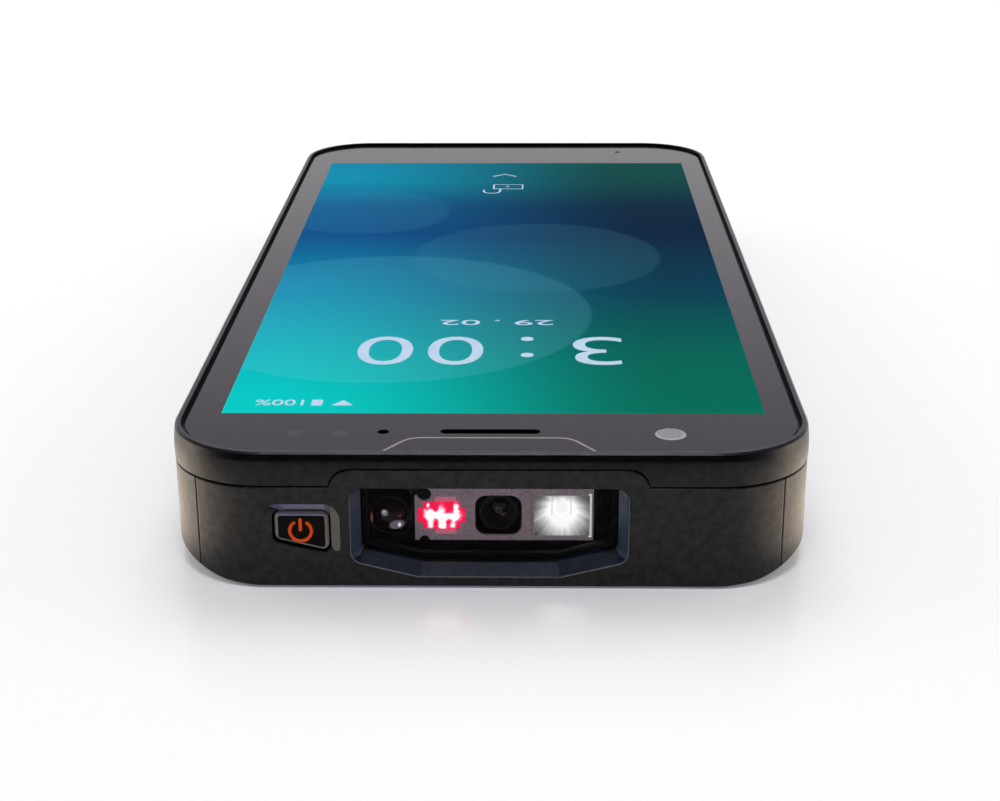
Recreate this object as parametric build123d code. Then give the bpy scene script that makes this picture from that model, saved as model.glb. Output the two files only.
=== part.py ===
from build123d import *
import os
from math import sqrt

# A portable barcode data terminal lying on its back, screen up.
# Millimetres. +Z comes out of the screen, +Y runs from the scanning nose to the charging end,
# and the origin is on the surface it rests on, under the middle of the body.
# Left and right are those of someone who reads the screen, so right is -X.

# ---- Body outline ----
body_width = 78.4
body_length = 166.3
corner_radius = 12.0
wall = 1.8
floor_thickness = 1.6
crown_run = 12.0                # the back is flat in the middle and crowned this far in from each side
crown_radius = 28.0
base_bevel = 0.35
lap = 1.0                       # how far joined or cut shapes run into each other

# ---- Stack under the screen ----
glass_top = 17.2
glass_thickness = 0.8
adhesive_thickness = 0.1
display_thickness = 1.4
chassis_thickness = 1.5
lip_rise = 0.45                 # the bezel ring stands this much above the glass
lip_width = 0.85
lip_bevel = 0.25
glass_gap = 0.5                 # open joint between the ring and the glass
glass_z = glass_top - glass_thickness
glass_inset = lip_width + glass_gap
adhesive_z = glass_z - adhesive_thickness
display_z = glass_z - display_thickness
chassis_z = display_z - chassis_thickness
lip_top = glass_top + lip_rise

# ---- Parting line between the bezel ring and the housing ----
seam_z = 13.35
seam_gap = 0.2
seam_edge_bevel = 0.15          # on the housing's edge under the line
nose_rise = 2.25                # the line steps up over the nose
nose_rise_run = 2.5
nose_rise_depth = 5.0
ring_overhang = 0.03            # the ring stands out this far past the housing
ring_swell = 0.055              # and its side bulges this much more
ring_lean = 0.12                # its top leans in
tongue_inset = wall + 0.07
tongue_width = 1.0
tongue_drop = 1.1               # tongue end under the parting line
gasket_thickness = 0.5
gasket_side_gap = 0.08
ledge_width = 1.2
ledge_thickness = 0.7
ring_ledge_inset = 3.8
chassis_inset = tongue_inset + tongue_width + 0.13
chassis_rim = 6.5
chassis_spine = 6.0
chassis_pocket_margin = 5.0
chassis_pocket_count = 4
chassis_cross_rib = 4.0
flex_slot_setback = 8.15        # from the far end of the body
display_near_setback = 12.15
display_far_setback = 11.55
display_corner = 1.0
driver_edge_length = 3.0
flex_thickness = 0.2
flex_overlap = 3.0
flex_width = 12.0

# ---- Nose ----
nose_split = 3.2                # nose cap length from the front wall to its vertical seam
nose_split_gap = 0.2
recess_depth = 1.9
recess_inset = 1.1
window_side_room = 22.6         # from the body's side to the window recess
window_top = 13.1
window_head_share = 0.3         # of an inset, taken at the window's top edge
window_shoulder = 3.6
window_base = 1.55
window_slant_run = 8.2          # of each slanted shoulder, along X
window_corner = 1.5
window_boss_wall = 0.9
window_thickness = 1.0
window_gap = 0.3
seal_thickness = 0.6
seal_width = 0.7
window_lip_width = 0.5
window_lip_thickness = 0.8
window_edge_bevel = 0.2
window_outer_bevel = 0.12       # where the recess meets the front wall
ear_inset = 8.5                 # screw ears of the nose cap, in from the side and from the nose
ear_setback = 7.75
ear_width = 4.8
ear_z = 8.3
ear_thickness = 1.5
ear_screw_end = 4.0

# ---- Scan engine ----
engine_setback = 5.0            # engine face plate behind the front wall
engine_z = 7.4
engine_left = -9.6
engine_right = 13.1
engine_depth = 11.5
engine_height = 9.4
face_plate_thickness = 0.5
engine_face_right = 12.6
face_plate_left = -9.2
face_plate_top = 11.1
face_plate_base = 4.15
face_plate_step = 1.15          # the corner beside the spot projector is lower
plate_stud_radius = 0.65
plate_stud_drop = 2.55
plate_stud_xs = (-2.85, 4.4)
plate_stud_rise = 0.15
face_plate_notch = 0.9
face_plate_foot_notch = 0.6
face_plate_notch_x = -8.05
engine_bevel = 0.4
bracket_z = 2.0
bracket_thickness = 0.6
bracket_ear_x = 19.0
bracket_ear_setback = 15.15
collar_wall = 1.2
collar_length = 4.0
decode_chip_x = 7.0
decode_chip_size = 6.0
engine_flex_x = (-8.0, 2.0)
decode_board_thickness = 0.8
camera_x = 1.0
camera_pocket = 5.7
camera_pocket_height = 5.4
camera_pocket_corner = 1.4
camera_pocket_depth = 4.0
camera_barrel_radius = 2.4
camera_barrel_sink = 0.6
camera_barrel_length = 7.0
barrel_rim = 0.35
barrel_cone_depth = 1.4
camera_lens_radius = 1.3
camera_lens_depth = 1.5
camera_lens_crown = 0.4
aimer_x = -5.95
aimer_width = 4.6
aimer_height = 3.6
aimer_lobe_width = 5.9
aimer_lobe_height = 1.95
aimer_tab_width = 2.7
aimer_tab_height = 0.7
aimer_tab_shift = 0.5
aimer_depth = 2.2
aimer_lens_sink = 0.1
aimer_lens_depth = 1.0
led_size = 1.2
led_thickness = 0.4
light_x = 8.75
light_pocket_width = 7.4
light_pocket_height = 5.9
light_pocket_depth = 2.6
reflector_rim = 0.6
reflector_base = 2.4
spot_x = -12.4
spot_barrel_radius = 2.6
spot_lens_radius = 2.35
spot_barrel_length = 9.0
spot_lens_proud = 0.7
spot_lens_depth = 1.6
spot_lens_crown = 1.15
part_gap = 0.1                  # clearance between fixed parts that slip into each other

# ---- Power button ----
button_left_inset = 13.54       # in from the body's side
button_right_inset = 20.01
button_top = 10.17
button_base_left = 6.57
button_base_right = 5.02
button_corner = 0.8
button_gap = 0.3
button_travel = 0.5
button_bevel = 0.42
button_flange = 0.8
flange_thickness = 0.8
pad_left_margin = 1.65          # of the raised pad, round the button
pad_right_margin = 1.3
pad_base = 3.7
pad_top = 11.1
pad_rise = 0.45
pad_left_slope = 2.2            # width of the pad's slope on each side
pad_right_slope = 1.0
pad_base_slope = 2.2
pad_top_slope = 0.45
pad_foot_corner = 2.1
pad_corner = 1.2
pad_root = 0.7
power_rib_margin = 1.6          # from the button to the middle of a rib beside it
power_board_height = 7.0
button_sink = 0.1               # the button's face behind the pad's
plunger_radius = 0.9
plunger_length = 0.6
flange_gap = 0.05               # between a key's flange and the wall that keeps it in
switch_width = 4.2
switch_body = 0.9
dome_radius = 1.4
dome_height = 0.5
switch_gap = 0.05               # left under a plunger that is fully pressed

# ---- Side keys ----
key_height = 5.2
key_z = 7.2
key_gap = 0.18
key_travel = 0.5
key_proud = 0.15
key_flange = 0.9
key_round = 0.5
key_dish_depth = 0.45
key_dish_margin = 1.1
scan_key_length = 24.0
scan_key_setback = 49.15        # middle of the scan keys, from the nose
small_key_length = 10.0
volume_up_setback = 74.15
volume_key_step = 12.5
key_board_thickness = 0.8
key_board_margin = 1.0          # past the outer ends of the keys
key_board_z = 4.0
key_board_top = 10.4
key_clip_width = 2.0
key_clip_hold = 1.5

# ---- Battery ----
battery_side_room = 12.7        # from the body's side to the pack, for the keys and bosses
battery_near_setback = 55.15    # bay, from the nose
battery_far_setback = 21.15     # bay, from the far end
battery_height = 8.3
battery_side_gap = 0.2
battery_far_gap = 0.3
battery_near_gap = 0.25
battery_draft = 0.65            # the pack's near end leans in by this much at its top
battery_roof_gap = 0.3
battery_wall = 0.9
battery_skin = 1.1
battery_end_wall = 3.2
battery_edge_bevel = 0.35
battery_lid_thickness = 0.8
cell_gap = 0.2
bay_wall = 1.2
bay_corner = 2.5
protection_length = 5.0         # room for the protection board at the near end of the cell
strap_x = 15.0
strap_width = 2.0
pad_count = 6
contact_step = 3.0
pad_width = 2.0
pad_length = 3.0
pad_thickness = 0.3
pad_setback = 5.0               # from the pack's near end
pin_gap = 0.03
hook_x = 16.0
hook_width = 6.0
hook_reach = 1.1
hook_height = 1.6
hook_z = 1.9
hook_gap = 0.35

# ---- Battery latch ----
latch_travel = 1.8
latch_cap_width = 13.0
latch_cap_length = 6.0
latch_flange = 1.2
latch_thickness = 1.2
latch_bolt_width = 8.0
latch_gap = 0.15
latch_pocket_depth = 2.2
latch_groove_count = 3
latch_groove_depth = 0.3
latch_sink = 0.15
latch_rail = 1.3
latch_z = 1.68

# ---- Boards and fixings ----
board_gap = 0.7                 # from the battery bay's roof to the main board
board_thickness = 0.8
board_inset = 7.6
board_near_setback = 23.15
board_past_battery = 1.0
board_notch = 0.5
board_screw_radius = 0.8
board_screw_head = 1.5
board_screw_head_height = 0.55
board_boss_radius = 2.0
board_screw_inset = 4.9         # board screws, in from the board's edges
board_screw_near = 6.0
board_screw_far = 6.0
board_screw_count = 4           # along each side
can_height = 1.5
can_skin = 0.2
can_near_setback = 8.0          # first row of cans, from the board's nose end
can_battery_setback = 20.0      # second row, from the battery bay's near end
near_cans = ((-11.5, 25.0, 24.0), (13.5, 19.0, 28.0))   # middle, width and length of each
far_cans = ((-9.0, 30.0, 32.0), (16.0, 14.0, 22.0))
chip_height = 1.0
screw_radius = 1.0
screw_head_radius = 1.9
screw_head_height = 1.3
screw_seat_z = 2.5
screw_gap = 0.12
screw_thread_gap = 0.02
boss_radius = 2.7
boss_inset = 7.1
boss_nose_setback = 22.15
boss_end_setback = 10.65
boss_after_keys = 7.5
boss_middle_setback = 38.15
rib_thickness = 1.0
rib_height = 2.2
rib_offset = 3.5
rib_near_gap = 14.8             # from the battery bay to the cross rib

# ---- Charging end ----
end_board_z = 4.9
end_board_setback = 17.65       # this and the next parts are placed from the far end
usb_width = 8.94
usb_height = 3.16
usb_length = 7.3
usb_wall = 0.3
usb_tongue_width = 6.7
usb_tongue_thickness = 0.7
usb_gap = 0.2
contact_radius = 1.1
contact_pitch = 4.0
contact_count = 6
contact_inset = 23.0
contact_setback = 6.65
contact_sink = 0.2
contact_shoulder = 0.7
speaker_inset = 18.5
speaker_setback = 10.95
speaker_width = 15.0
speaker_length = 10.0
speaker_height = 2.8
grille_slots = 5
grille_pitch = 2.2
grille_slot_length = 7.0
grille_slot_width = 1.0
mesh_thickness = 0.15
mesh_sink = 0.45
end_board_thickness = 0.8
end_board_inset = 11.5
end_stand_x = 8.0
end_stand_setbacks = (16.15, 3.25)
motor_inset = 25.5
motor_setback = 12.65
motor_radius = 2.2
motor_foot = 0.3
motor_length = 8.0
motor_shaft_radius = 0.5
motor_shaft_gap = 0.03
weight_radius = 2.0
weight_length = 3.0

# ---- Sound, sight and sensing under the glass ----
earpiece_setback = 8.25
earpiece_width = 12.2
earpiece_slot = 1.5
receiver_width = 14.0
receiver_length = 6.0
receiver_height = 2.4
sensor_row_setback = 8.1
front_mic_x = -13.05
indicator_inset = 17.3
indicator_setback = 7.5
indicator_radius = 1.95
light_sensor_inset = 15.4
near_sensor_inset = 20.9
sensor_radius = 0.9
sensor_body = 0.9
end_mic_inset = 17.0
end_mic_setback = 6.6
mic_width = 3.5
mic_length = 2.65
mic_radius = 0.5
front_mic_radius = 0.72
rear_camera_inset = 19.5
rear_camera_setback = 33.15
rear_camera_size = 8.6
rear_camera_height = 4.8
rear_barrel_radius = 3.2
rear_window_radius = 5.2
rear_window_thickness = 0.7
rear_window_sink = 0.2
flash_step = 9.5                # from the rear camera
flash_radius = 1.6
nfc_crown_gap = 1.5             # from the crowned part of the floor
nfc_right = 6.0
nfc_setback = 30.15
nfc_length = 18.0
nfc_turns = 4
nfc_pitch = 1.0

front_y = -body_length / 2
far_y = body_length / 2
side_x = body_width / 2
window_width = body_width - 2 * window_side_room
window_flat_width = window_width - 2 * window_slant_run
engine_y = front_y + engine_setback
battery_width = body_width - 2 * battery_side_room
battery_near = front_y + battery_near_setback
battery_far = far_y - battery_far_setback
bay_width = battery_width + 2 * battery_side_gap
bay_roof_z = battery_height + battery_roof_gap
bay_top_z = bay_roof_z + bay_wall
board_z = bay_top_z + board_gap
board_top = board_z + board_thickness
split_y = front_y + nose_split
pack_near = battery_near + battery_near_gap
pack_far = battery_far - battery_far_gap
tall = lip_top + lap
display_near = front_y + display_near_setback
display_far = far_y - display_far_setback
chassis_slot_y = far_y - flex_slot_setback
ear_x = side_x - ear_inset
ear_y = front_y + ear_setback
bracket_ear_y = front_y + bracket_ear_setback
board_near = front_y + board_near_setback
board_far = battery_far + board_past_battery
boss_x = side_x - boss_inset
board_screw_x = side_x - board_inset - board_screw_inset
pad_y = pack_near + pad_setback
rib_near = battery_near - rib_near_gap
end_board_near = far_y - end_board_setback
end_board_half_width = side_x - end_board_inset
contact_x = side_x - contact_inset
contact_y = far_y - contact_setback
speaker_x = speaker_inset - side_x
speaker_y = far_y - speaker_setback
motor_x = side_x - motor_inset
motor_y = far_y - motor_setback
earpiece_y = front_y + earpiece_setback
sensor_row_y = front_y + sensor_row_setback
indicator_x = side_x - indicator_inset
indicator_y = front_y + indicator_setback
light_sensor_x = light_sensor_inset - side_x
near_sensor_x = near_sensor_inset - side_x
end_mic_x = side_x - end_mic_inset
end_mic_y = far_y - end_mic_setback
rear_camera_x = side_x - rear_camera_inset
rear_camera_y = front_y + rear_camera_setback
flash_x = rear_camera_x - flash_step
nfc_left = crown_run + nfc_crown_gap - side_x
nfc_width = nfc_right - nfc_left
nfc_x = (nfc_left + nfc_right) / 2
nfc_y = front_y + nfc_setback
scan_key_y = front_y + scan_key_setback
volume_up_y = front_y + volume_up_setback
volume_down_y = volume_up_y + volume_key_step
key_board_near = scan_key_y - scan_key_length / 2 - key_board_margin
key_board_far = volume_down_y + small_key_length / 2 + key_board_margin
boss_rows = (front_y + boss_nose_setback, key_board_far + boss_after_keys, far_y - boss_middle_setback,
             far_y - boss_end_setback)
key_inner_x = side_x - wall     # the inside face of a side wall
front_inner_y = front_y + wall
button_left = button_left_inset - side_x
button_right = button_right_inset - side_x
pad_left = button_left - pad_left_margin
pad_right = button_right + pad_right_margin
power_board_ribs = (button_left - power_rib_margin, button_right + power_rib_margin)
power_board_x = (power_board_ribs[0] - 0.4 * rib_thickness, power_board_ribs[1] + 0.4 * rib_thickness)
window_seat_y = front_y + recess_depth + part_gap + window_thickness + seal_thickness + window_lip_thickness
engine_body_y = engine_y + face_plate_thickness
camera_lens_y = engine_body_y + camera_barrel_sink + barrel_cone_depth
sensor_top = display_z + sensor_body
button_mid_x = (button_left + button_right) / 2
button_mid_z = (button_top + (button_base_left + button_base_right) / 2) / 2
power_plunger_end = front_inner_y + flange_gap + flange_thickness + plunger_length
power_board_y = power_plunger_end + button_travel + switch_gap + dome_height + switch_body
key_dome_x = key_inner_x - flange_gap - flange_thickness - plunger_length - key_travel - switch_gap
key_board_x = key_dome_x - dome_height - switch_body - key_board_thickness
cell_room_y = (pack_near + battery_end_wall, pack_far - battery_wall)
latch_plate_far = battery_near - bay_wall - part_gap - latch_travel
latch_cap_far = latch_plate_far - latch_travel - latch_gap
latch_cap_y = (latch_cap_far - latch_cap_length, latch_cap_far)
latch_plate_y = (latch_cap_y[0] - latch_travel - 3 * latch_gap, latch_plate_far)
end_board_top = end_board_z + end_board_thickness
usb_z = end_board_top + usb_height / 2
motor_z = end_board_top + motor_foot + motor_radius


# ---- Ways to make a solid ----
def up(face, low, high):
    """A face drawn in X and Y, as a solid from low to high along Z."""
    return extrude(Pos(0, 0, low) * face, high - low)


def along_y(face, low, high):
    """A face drawn in X and Z, as a solid from low to high along Y."""
    return extrude(Plane.XZ.offset(-low) * face, low - high)


def along_x(face, low, high):
    """A face drawn in Y and Z, as a solid from low to high along X."""
    return extrude(Plane.YZ.offset(low) * face, high - low)


def block(x, y, z):
    """A box from three (low, high) pairs."""
    size = [pair[1] - pair[0] for pair in (x, y, z)]
    middle = [(pair[0] + pair[1]) / 2 for pair in (x, y, z)]
    return Pos(*middle) * Box(*size)


def about(middle, width):
    """The (low, high) pair of a width about a middle."""
    return (middle - width / 2, middle + width / 2)


def post(x, y, radius, low, high):
    """An upright round post or hole."""
    return up(Pos(x, y) * Circle(radius), low, high)


def rod_y(x, z, radius, low, high):
    """A round rod or hole along Y."""
    return along_y(Pos(x, z) * Circle(radius), low, high)


def group(solids):
    """Separate solids kept in one node."""
    return Compound(children=list(solids))


def both_sides(shape):
    """A shape and its mirror image across the middle of the body."""
    return [shape, mirror(shape, Plane.YZ)]


def outline(inset):
    return RectangleRounded(body_width - 2 * inset, body_length - 2 * inset, corner_radius - inset)


def band(outer_inset, inner_inset, low, high):
    """A frame that follows the body's outline."""
    return up(outline(outer_inset), low, high) - up(outline(inner_inset), low - lap, high + lap)


def outline_path():
    """The body's outline as a closed path that starts on the +X side."""
    x, y, r = side_x, far_y, corner_radius
    edges = [
        Line((x, 0), (x, y - r)), CenterArc((x - r, y - r), r, 0, 90),
        Line((x - r, y), (r - x, y)), CenterArc((r - x, y - r), r, 90, 90),
        Line((-x, y - r), (-x, r - y)), CenterArc((r - x, r - y), r, 180, 90),
        Line((r - x, -y), (x - r, -y)), CenterArc((x - r, r - y), r, 270, 90),
        Line((x, r - y), (x, 0)),
    ]
    return Wire(edges)


# ---- Spaces that the housing parts share ----
def crowned(skin):
    """All space above the back of the body, or above a skin of that thickness inside it."""
    flat = side_x - crown_run
    edge = side_x + lap
    radius = crown_radius - skin

    def arc_point(run):
        return (flat + run, crown_radius - sqrt(radius**2 - run**2))

    middle, end = arc_point((edge - flat) / 2), arc_point(edge - flat)
    right = ThreePointArc((flat, skin), middle, end)
    left = ThreePointArc((-end[0], end[1]), (-middle[0], middle[1]), (-flat, skin))
    rest = Polyline(end, (edge, tall), (-edge, tall), (-end[0], end[1]))
    section = make_face([Line((-flat, skin), (flat, skin)), right, rest, left])
    return along_y(section, front_y - lap, far_y + lap)


def below_seam(shift):
    """All space under the parting line, moved by shift. The line steps up over the nose."""
    top = seam_z + shift
    reach = side_x + corner_radius
    space = block((-reach, reach), (front_y - lap, far_y + lap), (-lap, top))
    half = window_width / 2         # the step stands over the window
    foot = half + nose_rise_run
    right = TangentArc((half, top + nose_rise), (foot, top), tangent=(1, 0))
    left = TangentArc((-half, top + nose_rise), (-foot, top), tangent=(-1, 0))
    roof = Line((-half, top + nose_rise), (half, top + nose_rise))
    sides = Polyline((foot, top), (foot, top - lap), (-foot, top - lap), (-foot, top))
    step = along_y(make_face([roof, right, sides, left]), front_y - lap, front_y + nose_rise_depth)
    return space + step


def window_face(inset):
    """The scan window's shape in X and Z: straight sides, slanted shoulders and a flat base."""
    half = window_width / 2 - inset
    top = window_top - inset * window_head_share
    base = window_base + inset
    slope = (window_shoulder - window_base) / window_slant_run
    lean = sqrt(1 + slope**2)
    shoulder = window_shoulder + inset * (lean - slope)
    flat = window_flat_width / 2 - inset * (lean - 1) / slope
    points = [(-half, top), (half, top), (half, shoulder), (flat, base), (-flat, base), (-half, shoulder)]
    face = make_face(Polyline(*points, close=True))
    corners = [v for v in face.vertices() if abs(v.X) > half - lap]
    return fillet(corners, max(window_corner - inset, window_corner / 4))


def button_face(margin):
    """The power button's four-sided shape in X and Z, grown by a margin."""
    points = [
        (button_left, button_top), (button_right, button_top),
        (button_right, button_base_right), (button_left, button_base_left),
    ]
    face = make_face(Polyline(*points, close=True))
    face = fillet(face.vertices(), button_corner)
    return offset(face, margin) if margin else face


def key_face(length, y, margin):
    """A side key's rounded shape in Y and Z, grown by a margin."""
    corner = min(key_height / 2 - lap / 10, key_height / 3) + margin
    return Pos(y, key_z) * RectangleRounded(length + 2 * margin, key_height + 2 * margin, corner)


left_keys = ((scan_key_y, scan_key_length), (volume_up_y, small_key_length), (volume_down_y, small_key_length))
right_keys = ((scan_key_y, scan_key_length), (volume_up_y, small_key_length))


# ---- Bezel ring, glass and display ----
def make_bezel_ring():
    """Top frame: lip round the glass, ledge under it, and a tongue that presses on the gasket."""
    low = seam_z - tongue_drop - lap
    turn_z = seam_z + seam_gap / 2
    inner = [
        (ring_lean + lip_bevel, lip_top), (lip_width, lip_top), (lip_width, adhesive_z),
        (ring_ledge_inset, adhesive_z), (ring_ledge_inset, display_z),
        (tongue_inset + tongue_width, display_z), (tongue_inset + tongue_width, low),
        (tongue_inset, low), (tongue_inset, turn_z - lap), (-ring_overhang, turn_z - lap),
        (-ring_overhang, turn_z),
    ]
    inner_line = Polyline(*[(side_x - inset, 0, z) for inset, z in inner])
    foot = (side_x + ring_overhang, 0, turn_z)
    shoulder = (side_x - ring_lean, 0, lip_top - lip_bevel)
    belly = (side_x + ring_overhang + ring_swell, 0, (foot[2] + shoulder[2]) / 2)
    outer_line = ThreePointArc(foot, belly, shoulder)
    bevel = Line(shoulder, (side_x - ring_lean - lip_bevel, 0, lip_top))
    ring = sweep(make_face([inner_line, outer_line, bevel]), path=outline_path())
    outside = band(-corner_radius / 2, tongue_inset, -lap, tall)
    ring -= below_seam(seam_gap / 2) & outside
    return ring - (below_seam(-tongue_drop) & up(outline(tongue_inset), -lap, tall))


def make_cover_glass():
    glass = up(outline(glass_inset), glass_z, glass_top)
    slot = Pos(0, earpiece_y) * SlotOverall(earpiece_width, earpiece_slot)
    glass -= up(slot, glass_z - lap, tall)
    glass -= post(front_mic_x, sensor_row_y, front_mic_radius, glass_z - lap, tall)
    glass -= post(end_mic_x, end_mic_y, mic_radius, glass_z - lap, tall)
    return glass - post(indicator_x, indicator_y, indicator_radius, glass_z - lap, tall)


def make_glass_adhesive():
    return band(glass_inset + part_gap, ring_ledge_inset - part_gap, adhesive_z, glass_z)


def make_display_module():
    """Liquid crystal panel and backlight, bonded under the glass, with a thinner driver edge."""
    half = side_x - ring_ledge_inset - part_gap
    panel = block((-half, half), (display_near, display_far), (display_z, glass_z))
    driver_edge = block(
        (-half - lap, half + lap), (display_far - driver_edge_length, display_far + lap),
        (display_z - lap, display_z + display_thickness / 2),
    )
    panel -= driver_edge
    return chamfer(panel.edges().filter_by(Axis.Z), display_corner)


def make_display_flex():
    """Ribbon from under the display's far edge, round the chassis and onto the main board."""
    under = display_z + display_thickness / 2
    near, turn, thick = display_far - driver_edge_length, chassis_slot_y, flex_thickness
    points = [
        (near, under), (turn + thick / 2, under), (turn + thick / 2, board_top),
        (board_far - flex_overlap, board_top), (board_far - flex_overlap, board_top + thick),
        (turn - thick / 2, board_top + thick), (turn - thick / 2, under - thick), (near, under - thick),
    ]
    return along_x(make_face(Polyline(*points, close=True)), *about(0, flex_width))


def make_chassis_plate():
    """Cast magnesium plate that carries the display and both boards, pocketed to save weight."""
    plate = up(outline(chassis_inset), chassis_z, display_z)
    half = side_x - chassis_inset
    near = display_near + chassis_pocket_margin
    pitch = (display_far - chassis_pocket_margin - near + chassis_cross_rib) / chassis_pocket_count
    for index in range(chassis_pocket_count):
        middle = Pos((half - chassis_rim) / 2 + chassis_spine / 4, near + pitch * (index + 0.5) - chassis_cross_rib / 2)
        length = pitch - chassis_cross_rib
        pocket = middle * RectangleRounded(half - chassis_rim - chassis_spine / 2, length, chassis_rim / 2)
        for cut in both_sides(up(pocket, chassis_z + chassis_thickness / 2, display_z + lap)):
            plate -= cut
    receiver = RectangleRounded(receiver_width + 2 * part_gap, receiver_length + 2 * part_gap, lap)
    plate -= up(Pos(0, earpiece_y) * receiver, -lap, tall)
    slot = SlotOverall(flex_width + 2 * lap, 2 * lap)
    plate -= up(Pos(0, chassis_slot_y) * slot, -lap, tall)
    for x, y in board_screw_places():
        plate += post(x, y, board_boss_radius, board_top, chassis_z + lap / 2)
        plate -= post(x, y, board_screw_radius, board_top - lap, chassis_z + lap / 2 + part_gap)
    for x, y in boss_places():
        plate -= post(x, y, screw_radius, -lap, tall)
    return plate


def boss_places():
    return [(side * boss_x, y) for side in (-1, 1) for y in boss_rows]


def board_screw_places():
    near, far = board_near + board_screw_near, board_far - board_screw_far
    rows = [near + (far - near) * index / (board_screw_count - 1) for index in range(board_screw_count)]
    return [(side * board_screw_x, y) for side in (-1, 1) for y in rows]


# ---- Housing ----
def make_shell():
    """The lower shell in one piece: walls up to the parting line, crowned back, gasket ledge."""
    body = up(outline(0), 0, tall) & crowned(0)
    lowest = body.faces().sort_by(Axis.Z)[0]
    body = chamfer(lowest.edges().filter_by(Axis.X), base_bevel)
    body -= up(outline(wall), -lap, tall + lap) & crowned(floor_thickness)
    body &= below_seam(-seam_gap / 2)
    body = chamfer(parting_edges(body), seam_edge_bevel)
    gasket_low = -tongue_drop - gasket_thickness
    ledge = band(wall / 2, wall + ledge_width, 0, tall)
    ledge &= below_seam(gasket_low)
    return body + (ledge - below_seam(gasket_low - ledge_thickness))


def parting_edges(body):
    """The outer edges of a body that follow the parting line."""
    low = seam_z - seam_gap / 2 - lap / 100
    skin = up(outline(-lap / 10), -lap, tall) - up(outline(lap / 10), -2 * lap, 2 * tall)
    outer = [edge for edge in body.edges() if edge.bounding_box().min.Z > low]
    return [edge for edge in outer if all(skin.is_inside(edge @ share) for share in (0, 0.5, 1))]


def make_nose_cap(shell):
    """Moulded nose: bevelled scan window recess, window seat, raised pad round the power button."""
    reach = side_x + corner_radius
    cap = shell & block((-reach, reach), (front_y - lap, split_y), (-lap, tall))
    inside = up(outline(wall / 2), 0, tall) & crowned(floor_thickness / 2)
    boss = along_y(window_face(recess_inset - window_boss_wall), front_y + wall / 2, window_seat_y)
    cap += boss & inside
    for x in (-ear_x, ear_x):
        ear = block(about(x, ear_width), (front_y, ear_y + ear_width / 2), (ear_z, ear_z + ear_thickness))
        cap += ear & inside
        cap -= post(x, ear_y, board_screw_radius + screw_gap, 0, tall)
    cap -= band(-lap, wall + part_gap, -lap, tall) & block((-reach, reach), (split_y, 0), (-lap, tall))
    for x in power_board_ribs:
        rib = block(about(x, rib_thickness), (front_y, power_board_y), about(button_mid_z, power_board_height))
        cap += rib & inside
    recess = loft(
        [Plane.XZ.offset(-front_y) * window_face(0),
         Plane.XZ.offset(-front_y - recess_depth) * window_face(recess_inset)], ruled=True,
    )
    edge = loft(
        [Plane.XZ.offset(-front_y) * window_face(-window_outer_bevel),
         Plane.XZ.offset(-front_y - window_outer_bevel) * window_face(0)], ruled=True,
    )
    cap -= recess
    cap -= edge
    cap -= along_y(window_face(-window_outer_bevel), front_y - lap, front_y)
    seal_y = window_seat_y - window_lip_thickness
    cap -= along_y(window_face(recess_inset), front_y + recess_depth, seal_y)
    cap -= along_y(window_face(recess_inset + window_lip_width), seal_y - lap, window_seat_y + lap)
    cap += make_pad()
    return cap - along_y(button_face(button_gap), front_y - pad_rise - lap, front_inner_y + lap)


def make_pad():
    """A low pad round the power button: steep at its top and right, sloping away at its left and base."""
    def rounded(left, right, low, high, corner):
        return Pos((left + right) / 2, (low + high) / 2) * RectangleRounded(right - left, high - low, corner)

    foot = rounded(pad_left, pad_right, pad_base, pad_top, pad_foot_corner)
    face = rounded(pad_left + pad_left_slope, pad_right - pad_right_slope, pad_base + pad_base_slope,
                   pad_top - pad_top_slope, pad_corner)
    rise = loft([Plane.XZ.offset(-front_y) * foot, Plane.XZ.offset(-front_y + pad_rise) * face], ruled=True)
    return rise + along_y(foot, front_y, front_y + pad_root)


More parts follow.
